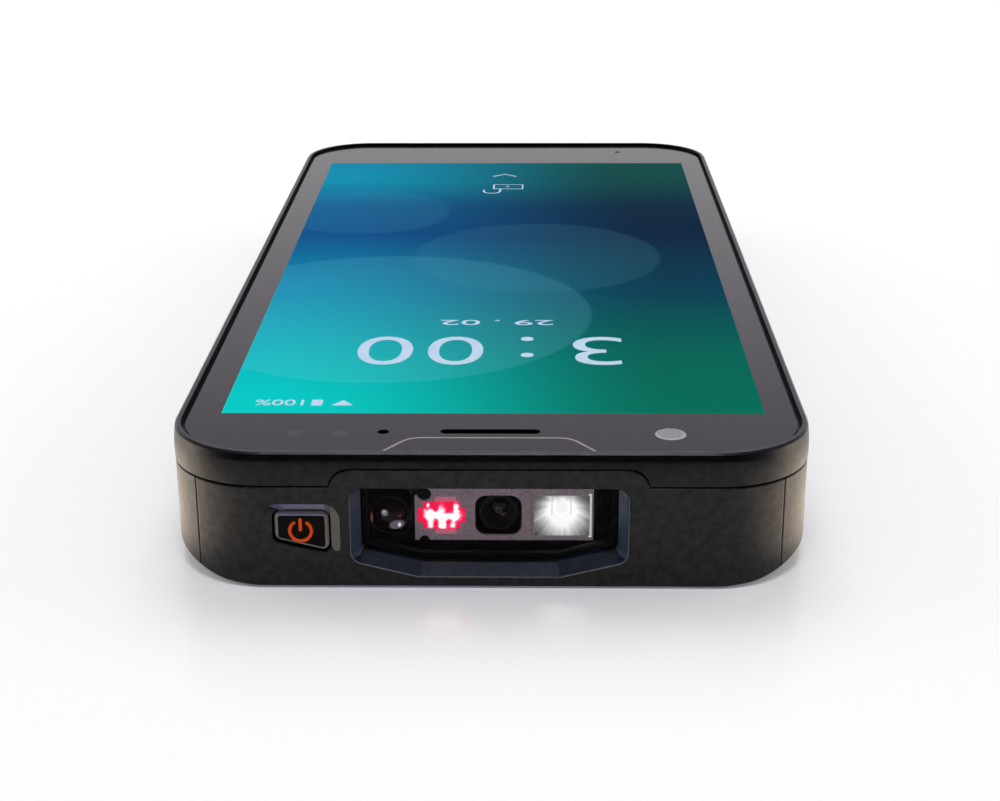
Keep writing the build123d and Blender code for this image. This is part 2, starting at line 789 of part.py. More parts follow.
def make_rear_housing(shell):
    """Back shell with the battery bay, latch slot, key openings, bosses and end openings."""
    reach = side_x + corner_radius
    housing = shell & block((-reach, reach), (split_y + nose_split_gap, far_y + lap), (-lap, tall))
    inside = up(outline(wall / 2), 0, tall) & crowned(floor_thickness / 2)
    inside &= block((-reach, reach), (split_y + nose_split_gap, far_y), (-lap, tall))
    bay_y, bay_length = (battery_near + battery_far) / 2, battery_far - battery_near
    bay = Pos(0, bay_y)
    tub = RectangleRounded(bay_width + 2 * bay_wall, bay_length + 2 * bay_wall, bay_corner + bay_wall)
    extra = [up(bay * tub, floor_thickness / 2, bay_top_z)]
    extra += [post(x, y, boss_radius, 0, chassis_z) for x, y in boss_places()]
    extra += [post(x, ear_y, boss_radius - part_gap, 0, ear_z) for x in (-ear_x, ear_x)]
    extra += [post(x, y, boss_radius, 0, bracket_z) for x, y in bracket_places()]
    extra += make_latch_rails()
    extra += make_floor_ribs()
    for solid in extra:
        housing += solid & inside
    housing -= up(bay * RectangleRounded(bay_width, bay_length, bay_corner), -lap, bay_roof_z)
    housing -= up(connector_window(part_gap), bay_roof_z - lap, bay_top_z + lap)
    for x in (-hook_x, hook_x):
        housing -= block(about(x, hook_width + 2 * hook_gap), (battery_far - lap, battery_far + bay_wall + lap),
                         (floor_thickness, hook_z + hook_height + hook_reach + hook_gap))
    for x, y in boss_places():
        housing -= post(x, y, screw_radius + screw_gap, -lap, tall)
        housing -= post(x, y, screw_head_radius + screw_gap, -lap, screw_seat_z)
    for x in (-ear_x, ear_x):
        housing -= post(x, ear_y, board_screw_radius, ear_screw_end, ear_z + lap)
    for x, y in bracket_places():
        housing -= post(x, y, board_screw_radius, floor_thickness / 2, bracket_z + lap)
    for cut in (*make_key_cuts(left_keys), *[mirror(cut, Plane.YZ) for cut in make_key_cuts(right_keys)]):
        housing -= cut
    housing -= latch_slot()
    usb_hole = Pos(0, usb_z) * SlotOverall(usb_width + 2 * usb_gap, usb_height + 2 * usb_gap)
    housing -= along_y(usb_hole, far_y - wall - lap, far_y + lap)
    for x in contact_places():
        housing -= post(x, contact_y, contact_radius + part_gap, -lap, floor_thickness + lap)
    for x in grille_places():
        slot = Pos(x, speaker_y) * Rot(0, 0, 90) * SlotOverall(grille_slot_length, grille_slot_width)
        housing -= up(slot, -lap, floor_thickness + lap)
    camera = Pos(rear_camera_x, rear_camera_y)
    housing -= up(camera * Circle(rear_window_radius + part_gap), -lap, rear_window_sink + rear_window_thickness)
    housing -= up(camera * Circle(rear_barrel_radius + part_gap), -lap, floor_thickness + lap)
    return housing - post(flash_x, rear_camera_y, flash_radius + part_gap, -lap, floor_thickness + lap)


def make_floor_ribs():
    """Stiffening ribs along the back, and clips that hold the two key boards upright."""
    ribs = []
    for x in (-bay_width / 2 - rib_offset, bay_width / 2 + rib_offset):
        ribs.append(block(about(x, rib_thickness), (rib_near, battery_far), (0, floor_thickness + rib_height)))
    ribs.append(block(about(0, bay_width), about(rib_near, rib_thickness), (0, floor_thickness + rib_height)))
    for y in [far_y - setback for setback in end_stand_setbacks]:
        for x in (-end_stand_x, end_stand_x):
            ribs.append(block(about(x, 2 * rib_thickness), about(y, 2 * rib_thickness), (0, end_board_z)))
    for y in key_clip_rows():
        for low, high in ((key_board_x - rib_thickness, key_board_x),
                          (key_board_x + key_board_thickness, key_board_x + key_board_thickness + rib_thickness)):
            clip = block((low, high), about(y, key_clip_width), (0, key_board_z + key_clip_hold))
            ribs += both_sides(clip)
        foot = block((key_board_x - rib_thickness, key_board_x + key_board_thickness + rib_thickness),
                     about(y, key_clip_width), (0, key_board_z))
        ribs += both_sides(foot)
    return ribs


def key_clip_rows():
    """Clips near both ends of the key boards, and between the keys."""
    half = key_clip_width / 2
    gap_y = (scan_key_y + scan_key_length / 2 + volume_up_y - small_key_length / 2) / 2
    between = (volume_up_y + volume_down_y) / 2
    return (key_board_near + 2 * half, gap_y, between, key_board_far - half)


def make_key_cuts(keys):
    """Openings and shallow dishes for the keys of the +X side."""
    cuts = []
    for y, length in keys:
        cuts.append(along_x(key_face(length, y, key_gap), key_inner_x - lap, side_x + lap))
        outer = key_face(length, y, key_dish_margin)
        inner = key_face(length, y, key_dish_margin - key_dish_depth)
        cuts.append(loft([Plane.YZ.offset(side_x) * outer, Plane.YZ.offset(side_x - key_dish_depth) * inner],
                         ruled=True))
    return cuts


def make_housing_gasket():
    """Seal pressed between the ring's tongue and the housing's ledge, stepping up over the nose."""
    seal = band(tongue_inset + gasket_side_gap, tongue_inset + tongue_width, 0, tall)
    seal &= below_seam(-tongue_drop)
    return seal - below_seam(-tongue_drop - gasket_thickness)


# ---- Window and scan engine ----
def make_scan_window():
    low = front_y + recess_depth + part_gap
    window = along_y(window_face(recess_inset + window_gap), low, low + window_thickness)
    front = window.edges().group_by(Axis.Y)[0]
    return chamfer(front, window_edge_bevel)


def make_window_seal():
    """Black rubber frame between the window and the seat behind it."""
    low = front_y + recess_depth + part_gap + window_thickness
    high = window_seat_y - window_lip_thickness
    seal = along_y(window_face(recess_inset + part_gap / 2), low, high)
    return seal - along_y(window_face(recess_inset + seal_width), low - lap, high + lap)


def centred_face(x, width, height, corner=0.0):
    """A rectangle in X and Z at the scan engine's height."""
    shape = RectangleRounded(width, height, corner) if corner else Rectangle(width, height)
    return Pos(x, engine_z) * shape


def aimer_face(margin):
    """The aimer's opening: a block with a lobe at each side."""
    middle = centred_face(aimer_x, aimer_width + 2 * margin, aimer_height + 2 * margin)
    lobes = centred_face(aimer_x, aimer_lobe_width + 2 * margin, aimer_lobe_height + 2 * margin)
    return middle + lobes


def make_engine_body():
    """Cast block with a pocket for the aimer, the camera and the light."""
    front, back = engine_body_y, engine_body_y + engine_depth
    body = block((engine_left, engine_right), (front, back), about(engine_z, engine_height))
    body = chamfer(body.edges().filter_by(Axis.Y), engine_bevel)
    body -= along_y(aimer_face(0), front - lap, front + aimer_depth)
    body -= along_y(centred_face(camera_x, camera_pocket, camera_pocket_height, camera_pocket_corner),
                    front - lap, front + camera_pocket_depth)
    body -= rod_y(camera_x, engine_z, camera_barrel_radius, front, front + camera_barrel_length)
    body -= along_y(centred_face(light_x, light_pocket_width, light_pocket_height),
                    front - lap, front + light_pocket_depth)
    return body


def make_engine_face_plate():
    """Speckled front plate with openings over the three pockets and four moulded studs."""
    front, back = engine_y, engine_body_y
    plate = block((face_plate_left, engine_face_right), (front, back), (face_plate_base, face_plate_top))
    plate -= along_y(aimer_face(0), front - lap, back + lap)
    tab = centred_face(aimer_x + aimer_tab_shift, aimer_tab_width, aimer_height + 2 * aimer_tab_height)
    plate -= along_y(tab, front - lap, back + lap)
    plate -= along_y(centred_face(camera_x, camera_pocket, camera_pocket_height, camera_pocket_corner),
                     front - lap, back + lap)
    plate -= along_y(centred_face(light_x, light_pocket_width, light_pocket_height), front - lap, back + lap)
    step_z = face_plate_top - face_plate_step
    plate -= block((face_plate_left - lap, face_plate_notch_x), (front - lap, back + lap), (step_z, tall))
    for z, radius in ((face_plate_top - face_plate_notch, face_plate_notch), (face_plate_base, face_plate_foot_notch)):
        plate -= rod_y(face_plate_notch_x, z, radius, front - lap, back + lap)
    for x in plate_stud_xs:
        for drop in (-plate_stud_drop, plate_stud_drop):
            plate += rod_y(x, engine_z + drop, plate_stud_radius, front - plate_stud_rise, back)
    return plate


def make_aimer_lens():
    """Red clear insert with two clips, shaped like the aimer's opening."""
    lens = along_y(aimer_face(-part_gap / 2), engine_y + aimer_lens_sink, engine_body_y + aimer_lens_depth)
    tab = centred_face(aimer_x + aimer_tab_shift, aimer_tab_width - part_gap,
                       aimer_height + 2 * aimer_tab_height - part_gap)
    return lens + along_y(tab, engine_y + aimer_lens_sink, engine_body_y)


def make_aimer_leds():
    """Three red light-emitting chips on the floor of the aimer's pocket."""
    floor = engine_body_y + aimer_depth
    return group(
        block(about(aimer_x + shift * aimer_width / 3, led_size), (floor - led_thickness, floor),
              about(engine_z, led_size))
        for shift in (-1, 0, 1)
    )


def make_camera_barrel():
    """Lens holder, turned: a stepped front that closes down to the lens."""
    low = engine_body_y + camera_barrel_sink
    high = engine_body_y + camera_barrel_length
    barrel = rod_y(camera_x, engine_z, camera_barrel_radius - part_gap / 2, low, high)
    cone = Plane.XZ.offset(-low) * Pos(camera_x, engine_z) * Circle(camera_barrel_radius - barrel_rim)
    throat = Plane.XZ.offset(-low - barrel_cone_depth) * Pos(camera_x, engine_z) * Circle(camera_lens_radius)
    barrel -= loft([cone, throat])
    return barrel - rod_y(camera_x, engine_z, camera_lens_radius, low, high - barrel_rim)


def lens_solid(x, radius, front, depth, crown):
    """A lens along Y with a domed front."""
    ball = (radius**2 + crown**2) / (2 * crown)
    disc = rod_y(x, engine_z, radius, front, front + depth)
    return disc & (Pos(x, front + ball, engine_z) * Sphere(ball))


def make_light_reflector():
    """Funnel that fills the light's pocket and widens from the chip to the front."""
    front, back = engine_y + aimer_lens_sink, engine_body_y + light_pocket_depth
    outer = along_y(centred_face(light_x, light_pocket_width - part_gap, light_pocket_height - part_gap),
                    front, back)
    mouth = Plane.XZ.offset(-front) * centred_face(light_x, light_pocket_width - reflector_rim,
                                                   light_pocket_height - reflector_rim)
    chip = Plane.XZ.offset(-back) * centred_face(light_x, reflector_base, reflector_base)
    return outer - loft([mouth, chip], ruled=True)


def make_light_led():
    back = engine_body_y + light_pocket_depth
    chip_size = reflector_base - part_gap
    chip = block(about(light_x, chip_size), (back - led_thickness, back), about(engine_z, chip_size))
    dome = Pos(light_x, back - led_thickness, engine_z) * Sphere(chip_size / 2 - part_gap)
    keep = block(about(light_x, chip_size), (back - led_thickness - chip_size / 2, back),
                 about(engine_z, chip_size))
    return chip + (dome & keep)


def make_spot_barrel():
    """Holder of the spot projector beside the engine: a tube with a flared front."""
    low = engine_y
    tube = rod_y(spot_x, engine_z, spot_barrel_radius, low, low + spot_barrel_length)
    return tube - rod_y(spot_x, engine_z, spot_lens_radius, low - lap, low + spot_barrel_length - barrel_rim)


def bracket_places():
    return [(side * bracket_ear_x, bracket_ear_y) for side in (-1, 1)]


def make_engine_bracket():
    """Bent sheet bracket: base with two screw ears, a back plate and a collar for the spot barrel."""
    base_low, base_high = bracket_z, bracket_z + bracket_thickness
    back = engine_body_y + engine_depth
    base = block((spot_x - spot_barrel_radius - collar_wall, engine_right),
                 (engine_body_y + lap, back + bracket_thickness), (base_low, base_high))
    ears = block(about(0, 2 * bracket_ear_x + 4 * board_screw_head / 2),
                 about(bracket_ear_y, 3 * board_screw_head), (base_low, base_high))
    wall_up = block((engine_left, engine_right), (back, back + bracket_thickness),
                    (base_low, engine_z + engine_height / 2))
    collar = block((spot_x - spot_barrel_radius - collar_wall, engine_left - part_gap),
                   about(engine_body_y + engine_depth / 2, collar_length),
                   (base_low, engine_z + spot_barrel_radius + collar_wall))
    bracket = base + ears + wall_up + collar
    bracket -= rod_y(spot_x, engine_z, spot_barrel_radius, front_y, back)
    bracket -= block((engine_left - part_gap, engine_right + lap), (front_y, back),
                     (base_high, tall))
    for x, y in bracket_places():
        bracket -= post(x, y, board_screw_radius + screw_gap, 0, tall)
    return bracket


def make_decode_board():
    """Upright board behind the engine, with its decoder chip."""
    low = engine_body_y + engine_depth + bracket_thickness
    board = block((engine_left - lap, engine_right + lap), (low, low + decode_board_thickness),
                  about(engine_z, engine_height))
    chip = block(about(decode_chip_x, decode_chip_size),
                 (low + decode_board_thickness, low + decode_board_thickness + chip_height),
                 about(engine_z, decode_chip_size))
    return board + chip


def make_engine_flex():
    """Ribbon from the decode board up onto the main board."""
    low = engine_body_y + engine_depth + bracket_thickness + decode_board_thickness
    points = [
        (low, engine_z), (low + flex_thickness, engine_z), (low + flex_thickness, board_top),
        (board_near + flex_overlap, board_top), (board_near + flex_overlap, board_top + flex_thickness),
        (low, board_top + flex_thickness),
    ]
    return along_x(make_face(Polyline(*points, close=True)), *engine_flex_x)


# ---- Keys and switches ----
def make_power_button():
    """Button cap with a bevelled edge, a flange behind the wall and a plunger."""
    low = front_y - pad_rise + button_sink
    flange_low = front_inner_y + flange_gap
    cap = along_y(button_face(0), low, flange_low + flange_thickness)
    cap = chamfer(cap.edges().group_by(Axis.Y)[0], button_bevel)
    cap += along_y(button_face(button_flange), flange_low, flange_low + flange_thickness)
    return cap + rod_y(button_mid_x, button_mid_z, plunger_radius, flange_low, power_plunger_end)


def tact_switch(place):
    """A tactile switch whose dome faces local +Z and whose base is on the local origin."""
    body = extrude(Rectangle(switch_width, switch_width), switch_body)
    dome = extrude(Pos(0, 0, switch_body) * Circle(dome_radius), dome_height)
    return place * (body + dome)


def make_power_board():
    """Small upright board that carries the power button's switch."""
    return block(power_board_x, (power_board_y, power_board_y + key_board_thickness),
                 about(button_mid_z, power_board_height))


def make_tact_switches():
    """Every tactile switch in the terminal: one under each key and one under the power button."""
    places = [Plane(origin=(button_mid_x, power_board_y, button_mid_z), z_dir=(0, -1, 0))]
    face = key_board_x + key_board_thickness
    for side, keys in ((1, left_keys), (-1, right_keys)):
        places += [Plane(origin=(side * face, y, key_z), z_dir=(side, 0, 0)) for y, _ in keys]
    return group(tact_switch(Location(place)) for place in places)


def make_side_key(y, length):
    """A key of the +X side: rounded cap, flange inside the wall and a plunger."""
    outer = side_x + key_proud
    flange_high = key_inner_x - flange_gap
    flange_low = flange_high - flange_thickness
    cap = along_x(key_face(length, y, 0), flange_low, outer)
    cap = fillet(cap.edges().group_by(Axis.X)[-1], key_round)
    cap += along_x(key_face(length, y, key_flange), flange_low, flange_high)
    plunger = Pos(y, key_z) * Circle(plunger_radius)
    return cap + along_x(plunger, flange_low - plunger_length, flange_low)


def make_key_boards():
    """Two upright boards, one behind the keys of each side wall."""
    return group(both_sides(block(
        (key_board_x, key_board_x + key_board_thickness), (key_board_near, key_board_far),
        (key_board_z, key_board_top),
    )))


# ---- Battery and latch ----
def pack_block(low, high, inset=0.0):
    """The battery pack's outer form between two heights: its near end leans in towards the top."""
    side = make_face(Polyline(
        (pack_near, 0), (pack_far, 0), (pack_far, battery_height),
        (pack_near + battery_draft, battery_height), close=True,
    ))
    form = along_x(side, *about(0, battery_width))
    length = pack_far - pack_near - 2 * inset
    plan = Pos(0, (pack_near + pack_far) / 2) * RectangleRounded(
        battery_width - 2 * inset, length, bay_corner - inset)
    return form & up(plan, low, high)


def make_battery_case():
    """Open tray that forms part of the back, with two end hooks and the latch's pocket."""
    top = battery_height - battery_lid_thickness
    case = pack_block(0, top)
    case = chamfer(case.edges().group_by(Axis.Z)[0], battery_edge_bevel)
    case -= block(about(0, battery_width - 2 * battery_wall), cell_room_y, (battery_skin, top + lap))
    case -= block(about(0, latch_bolt_width + 4 * latch_gap), (pack_near - lap, pack_near + latch_pocket_depth),
                  (latch_z - latch_gap, latch_z + latch_thickness + 2 * latch_gap))
    for x in (-hook_x, hook_x):
        case += block(about(x, hook_width), (pack_far - battery_wall / 2, battery_far + hook_reach),
                      (hook_z, hook_z + hook_height))
    return case


def make_battery_lid():
    lid = pack_block(battery_height - battery_lid_thickness, battery_height)
    for x in pad_places():
        lid -= block(about(x, pad_width), about(pad_y, pad_length), (battery_height - pad_thickness, tall))
    return lid


def make_battery_cell():
    """Flat lithium cell with rounded long edges."""
    low, high = battery_skin + cell_gap, battery_height - battery_lid_thickness - cell_gap
    near, far = cell_room_y[0] + protection_length, cell_room_y[1] - cell_gap
    end = Pos(0, (low + high) / 2) * RectangleRounded(battery_width - 2 * battery_wall - 2 * cell_gap,
                                                      high - low, (high - low) / 3)
    return along_y(end, near, far)


def make_battery_board():
    """Protection board between the cell and the contacts, with two nickel straps to the cell."""
    near = cell_room_y[0] + cell_gap
    far = cell_room_y[0] + protection_length - cell_gap
    high = battery_height - battery_lid_thickness - cell_gap
    board = block(about(0, battery_width * 0.7), (near, far), (high - board_thickness, high))
    for x in (-strap_x, strap_x):
        board += block(about(x, strap_width), (far - lap, far + cell_gap),
                       (high - board_thickness - strap_width, high - board_thickness / 2))
    return board


def pad_places():
    return [contact_step * (index - (pad_count - 1) / 2) for index in range(pad_count)]


def make_battery_pads():
    """Gold contact pads let into the pack's lid."""
    return group(
        block(about(x, pad_width), about(pad_y, pad_length), (battery_height - pad_thickness, battery_height))
        for x in pad_places()
    )


def connector_window(margin):
    width, length = pad_count * contact_step + 2 * margin, pad_length + 2 * lap + 2 * margin
    return Pos(0, pad_y) * Rectangle(width, length)


def make_battery_connector():
    """Block under the main board with a row of spring pins over the pack's pads."""
    connector = up(connector_window(0), bay_roof_z, board_z)
    for x in pad_places():
        pin = block(about(x, pad_width / 2), about(pad_y, pad_length / 2),
                    (battery_height + pin_gap, bay_roof_z + lap))
        connector += pin
    return connector


def latch_slot():
    """Slot in the back for the latch's thumb piece, long enough for its travel."""
    return block(about(0, latch_cap_width + 2 * latch_gap),
                 (latch_cap_y[0] - latch_gap, latch_cap_y[1] + latch_travel + latch_gap),
                 (-lap, floor_thickness + lap)) + block(
        about(0, latch_bolt_width + 2 * latch_gap), (battery_near - bay_wall - lap, battery_near + lap),
        (floor_thickness, latch_z + latch_thickness + latch_gap))


def make_latch_rails():
    """Two lipped rails that guide the latch's plate along the floor."""
    rails = []
    half = latch_cap_width / 2 + latch_flange
    top = latch_z + latch_thickness + part_gap
    for side in (-1, 1):
        inner, outer = side * (half + part_gap), side * (half + part_gap + latch_rail)
        lip = side * (half - latch_flange / 2)
        run = (latch_plate_y[0], battery_near - bay_wall / 2)
        rails.append(block(sorted((inner, outer)), run, (0, top)))
        rails.append(block(sorted((lip, outer)), run, (top, top + latch_rail / 2)))
    return rails


def make_battery_latch():
    """Sliding latch, shown drawn back: grooved thumb piece, guided plate and bolt."""
    cap = block(about(0, latch_cap_width), latch_cap_y, (latch_sink, latch_z + latch_thickness))
    cap = chamfer(cap.edges().filter_by(Axis.Z), latch_gap)
    pitch = latch_cap_length / (latch_groove_count + 1)
    for index in range(latch_groove_count):
        y = latch_cap_y[0] + pitch * (index + 1)
        cap -= block(about(0, latch_cap_width - pitch), about(y, pitch / 2), (-lap, latch_sink + latch_groove_depth))
    plate = block(about(0, latch_cap_width + 2 * latch_flange), latch_plate_y, (latch_z, latch_z + latch_thickness))
    bolt = block(about(0, latch_bolt_width), (latch_plate_y[1] - lap, battery_near - latch_gap),
                 (latch_z, latch_z + latch_thickness))
    return cap + plate + bolt


# ---- Boards, cans and screws ----
def make_main_board():
    """Main circuit board, notched round the housing's bosses and over the rear camera."""
    half = side_x - board_inset
    board = up(Pos(0, (board_near + board_far) / 2) * RectangleRounded(2 * half, board_far - board_near, lap),
               board_z, board_top)
    for x, y in boss_places():
        board -= post(x, y, boss_radius + board_notch, 0, tall)
    for x, y in board_screw_places():
        board -= post(x, y, board_screw_radius + screw_gap, 0, tall)
    return board


def make_shield_cans():
    """Thin steel cans over the radio and the processor, open underneath."""
    rows = ((board_near + can_near_setback, near_cans), (battery_near + can_battery_setback, far_cans))
    cans = []
    for start, places in rows:
        for x, width, length in places:
            can = block(about(x, width), (start, start + length), (board_top, board_top + can_height))
            inner = block(about(x, width - 2 * can_skin), (start + can_skin, start + length - can_skin),
                          (board_top - lap, board_top + can_height - can_skin))
            cans.append(can - inner)
    return group(cans)


def screw(x, y, shank, head, head_height, seat, end):
    """A pan-head screw: seat is where its head meets the part it holds, end is its tip."""
    sign = 1 if end > seat else -1
    head_span = sorted((seat, seat - sign * head_height))
    body = post(x, y, head, *head_span)
    body += post(x, y, shank, *sorted((seat - sign * head_height / 2, end)))
    socket = sorted((seat - sign * head_height * 0.5, seat - sign * (head_height + lap)))
    return body - up(Pos(x, y) * RegularPolygon(head * 0.5, 6), *socket)


def make_housing_screws():
    return group(
        screw(x, y, screw_radius - screw_thread_gap, screw_head_radius, screw_head_height, screw_seat_z,
              display_z - part_gap)
        for x, y in boss_places()
    )


def make_small_screws():
    """Small screws: main board to chassis, nose cap to back shell, engine bracket to back shell."""
    runs = [(x, y, board_z, chassis_z + lap / 2) for x, y in board_screw_places()]
    runs += [(x, ear_y, ear_z + ear_thickness, ear_screw_end + part_gap) for x in (-ear_x, ear_x)]
    runs += [(x, y, bracket_z + bracket_thickness, floor_thickness / 2 + part_gap) for x, y in bracket_places()]
    return group(
        screw(x, y, board_screw_radius - screw_thread_gap, board_screw_head, board_screw_head_height, seat, end)
        for x, y, seat, end in runs
    )


# ---- Charging end ----
def make_end_board():
    board = block(about(0, 2 * end_board_half_width), (end_board_near, -front_inner_y - part_gap),
                  (end_board_z, end_board_top))
    for x, y in boss_places():
        board -= post(x, y, boss_radius + board_notch, 0, tall)
    return board


def make_usb_socket():
    """Reversible charging socket: drawn steel shell round a tongue."""
    mouth = far_y - usb_gap
    shell = along_y(Pos(0, usb_z) * SlotOverall(usb_width, usb_height), mouth - usb_length, mouth)
    room = Pos(0, usb_z) * SlotOverall(usb_width - 2 * usb_wall, usb_height - 2 * usb_wall)
    shell -= along_y(room, mouth - usb_length + lap, mouth + lap)
    tongue = block(about(0, usb_tongue_width), (mouth - usb_length + lap / 2, mouth - lap),
                   about(usb_z, usb_tongue_thickness))
    return shell + tongue


def contact_places():
    return [contact_x + contact_pitch * (index - (contact_count - 1) / 2) for index in range(contact_count)]


def make_cradle_contacts():
    """Turned contact pads in the back, each with a shoulder inside and a stem up to the end board."""
    pads = []
    for x in contact_places():
        pad = post(x, contact_y, contact_radius, contact_sink, floor_thickness + contact_shoulder)
        pad += post(x, contact_y, contact_radius * 1.4, floor_thickness, floor_thickness + contact_shoulder)
        pad += post(x, contact_y, contact_radius / 2, floor_thickness, end_board_z)
        pads.append(pad)
    return group(pads)


def grille_places():
    return [speaker_x + grille_pitch * (index - (grille_slots - 1) / 2) for index in range(grille_slots)]


def make_loudspeaker():
    """Sealed speaker box with a round cone let into its lower face."""
    low = floor_thickness + mesh_thickness
    box = block(about(speaker_x, speaker_width), about(speaker_y, speaker_length), (low, low + speaker_height))
    box = chamfer(box.edges().filter_by(Axis.Z), lap)
    return box - post(speaker_x, speaker_y, speaker_length * 0.42, 0, low + mesh_thickness * 2)


def make_speaker_mesh():
    return block(about(speaker_x, speaker_width - lap), about(speaker_y, speaker_length - lap),
                 (floor_thickness, floor_thickness + mesh_thickness))


def make_vibration_motor():
    """Motor can on a flat foot, its shaft hole facing +X."""
    can = Pos(motor_y, motor_z) * Circle(motor_radius)
    body = along_x(can, motor_x, motor_x + motor_length)
    body += block((motor_x, motor_x + motor_length), about(motor_y, motor_radius * 1.5), (end_board_top, motor_z))
    hole = Pos(motor_y, motor_z) * Circle(motor_shaft_radius + motor_shaft_gap)
    return body - along_x(hole, motor_x + motor_length / 2, motor_x + motor_length + lap)


def make_vibration_weight():
    """Half-round weight on the motor's shaft."""
    start = motor_x + motor_length + 2 * part_gap
    half_round = Pos(motor_y, motor_z) * (Circle(weight_radius) & Pos(0, weight_radius) * Rectangle(
        2 * weight_radius, 2 * weight_radius))
    hub = Pos(motor_y, motor_z) * Circle(motor_shaft_radius * 2)
    shaft = Pos(motor_y, motor_z) * Circle(motor_shaft_radius)
    weight = along_x(half_round, start, start + weight_length) + along_x(hub, start, start + weight_length)
    return weight + along_x(shaft, motor_x + motor_length / 2 + part_gap, start + weight_length / 2)


# ---- Under the glass ----
def make_earpiece_mesh():
    slot = Pos(0, earpiece_y) * SlotOverall(earpiece_width - part_gap, earpiece_slot - part_gap)
    rim = Pos(0, earpiece_y) * SlotOverall(earpiece_width + lap, earpiece_slot + lap)
    mesh = up(slot, glass_z, glass_top - mesh_sink)
    return mesh + up(rim, glass_z - mesh_thickness, glass_z)


def make_earpiece_receiver():
    top = glass_z - mesh_thickness
    plan = Pos(0, earpiece_y) * RectangleRounded(receiver_width, receiver_length, lap)
    return up(plan, top - receiver_height, top)


def make_indicator_lens():
    """Round frosted light window let into the glass, over its light-emitting diode."""
    lens = post(indicator_x, indicator_y, indicator_radius - part_gap / 5, glass_z - mesh_sink, glass_top)
    return chamfer(lens.edges().group_by(Axis.Z)[-1], part_gap)


def make_light_sensors():
    """Ambient light and proximity sensors, side by side under the glass."""
    sensors = []
    for x in (light_sensor_x, near_sensor_x):
        body = block(about(x, 3 * sensor_radius), about(sensor_row_y, 2.4 * sensor_radius), (display_z, sensor_top))
        sensors.append(body + post(x, sensor_row_y, sensor_radius, sensor_top, glass_z - part_gap))
    return group(sensors)


def make_microphones():
    """Two microphones under the glass, each with a rubber sleeve up to its hole."""
    mics = []
    for x, y, radius in ((front_mic_x, sensor_row_y, front_mic_radius), (end_mic_x, end_mic_y, mic_radius)):
        body = block(about(x, mic_width), about(y, mic_length), (display_z, sensor_top))
        sleeve = post(x, y, radius + 2 * part_gap, sensor_top, glass_z)
        mics.append(body + sleeve - post(x, y, radius - part_gap, sensor_top, tall))
    return group(mics)


# ---- Back of the nose end ----
def make_rear_camera():
    """Camera module with a round barrel that reaches down through the back."""
    low = floor_thickness + part_gap
    module = block(about(rear_camera_x, rear_camera_size), about(rear_camera_y, rear_camera_size),
                   (low, low + rear_camera_height))
    barrel_low = rear_window_sink + rear_window_thickness + part_gap
    module += post(rear_camera_x, rear_camera_y, rear_barrel_radius, barrel_low, low + lap)
    return module - post(rear_camera_x, rear_camera_y, rear_barrel_radius * 0.55, 0, floor_thickness)


def make_rear_camera_window():
    return post(rear_camera_x, rear_camera_y, rear_window_radius, rear_window_sink,
                rear_window_sink + rear_window_thickness)


def make_flash_lens():
    lens = post(flash_x, rear_camera_y, flash_radius, rear_window_sink, floor_thickness)
    return lens + post(flash_x, rear_camera_y, flash_radius + lap / 2, floor_thickness, floor_thickness + lap / 2)


def make_nfc_antenna():
    """Flat near-field coil on its ferrite sheet, on the inside of the back."""
    place = Pos(nfc_x, nfc_y)
    sheet_top = floor_thickness + mesh_thickness
    sheet = up(place * RectangleRounded(nfc_width, nfc_length, lap), floor_thickness, sheet_top)
    for index in range(nfc_turns):
        inset = nfc_pitch * (2 * index + 1)
        outer = RectangleRounded(nfc_width - inset, nfc_length - inset, lap)
        inner = RectangleRounded(nfc_width - inset - nfc_pitch, nfc_length - inset - nfc_pitch, lap)
        sheet += up(place * (outer - inner), sheet_top - mesh_thickness / 2, sheet_top + mesh_thickness / 2)
    return sheet


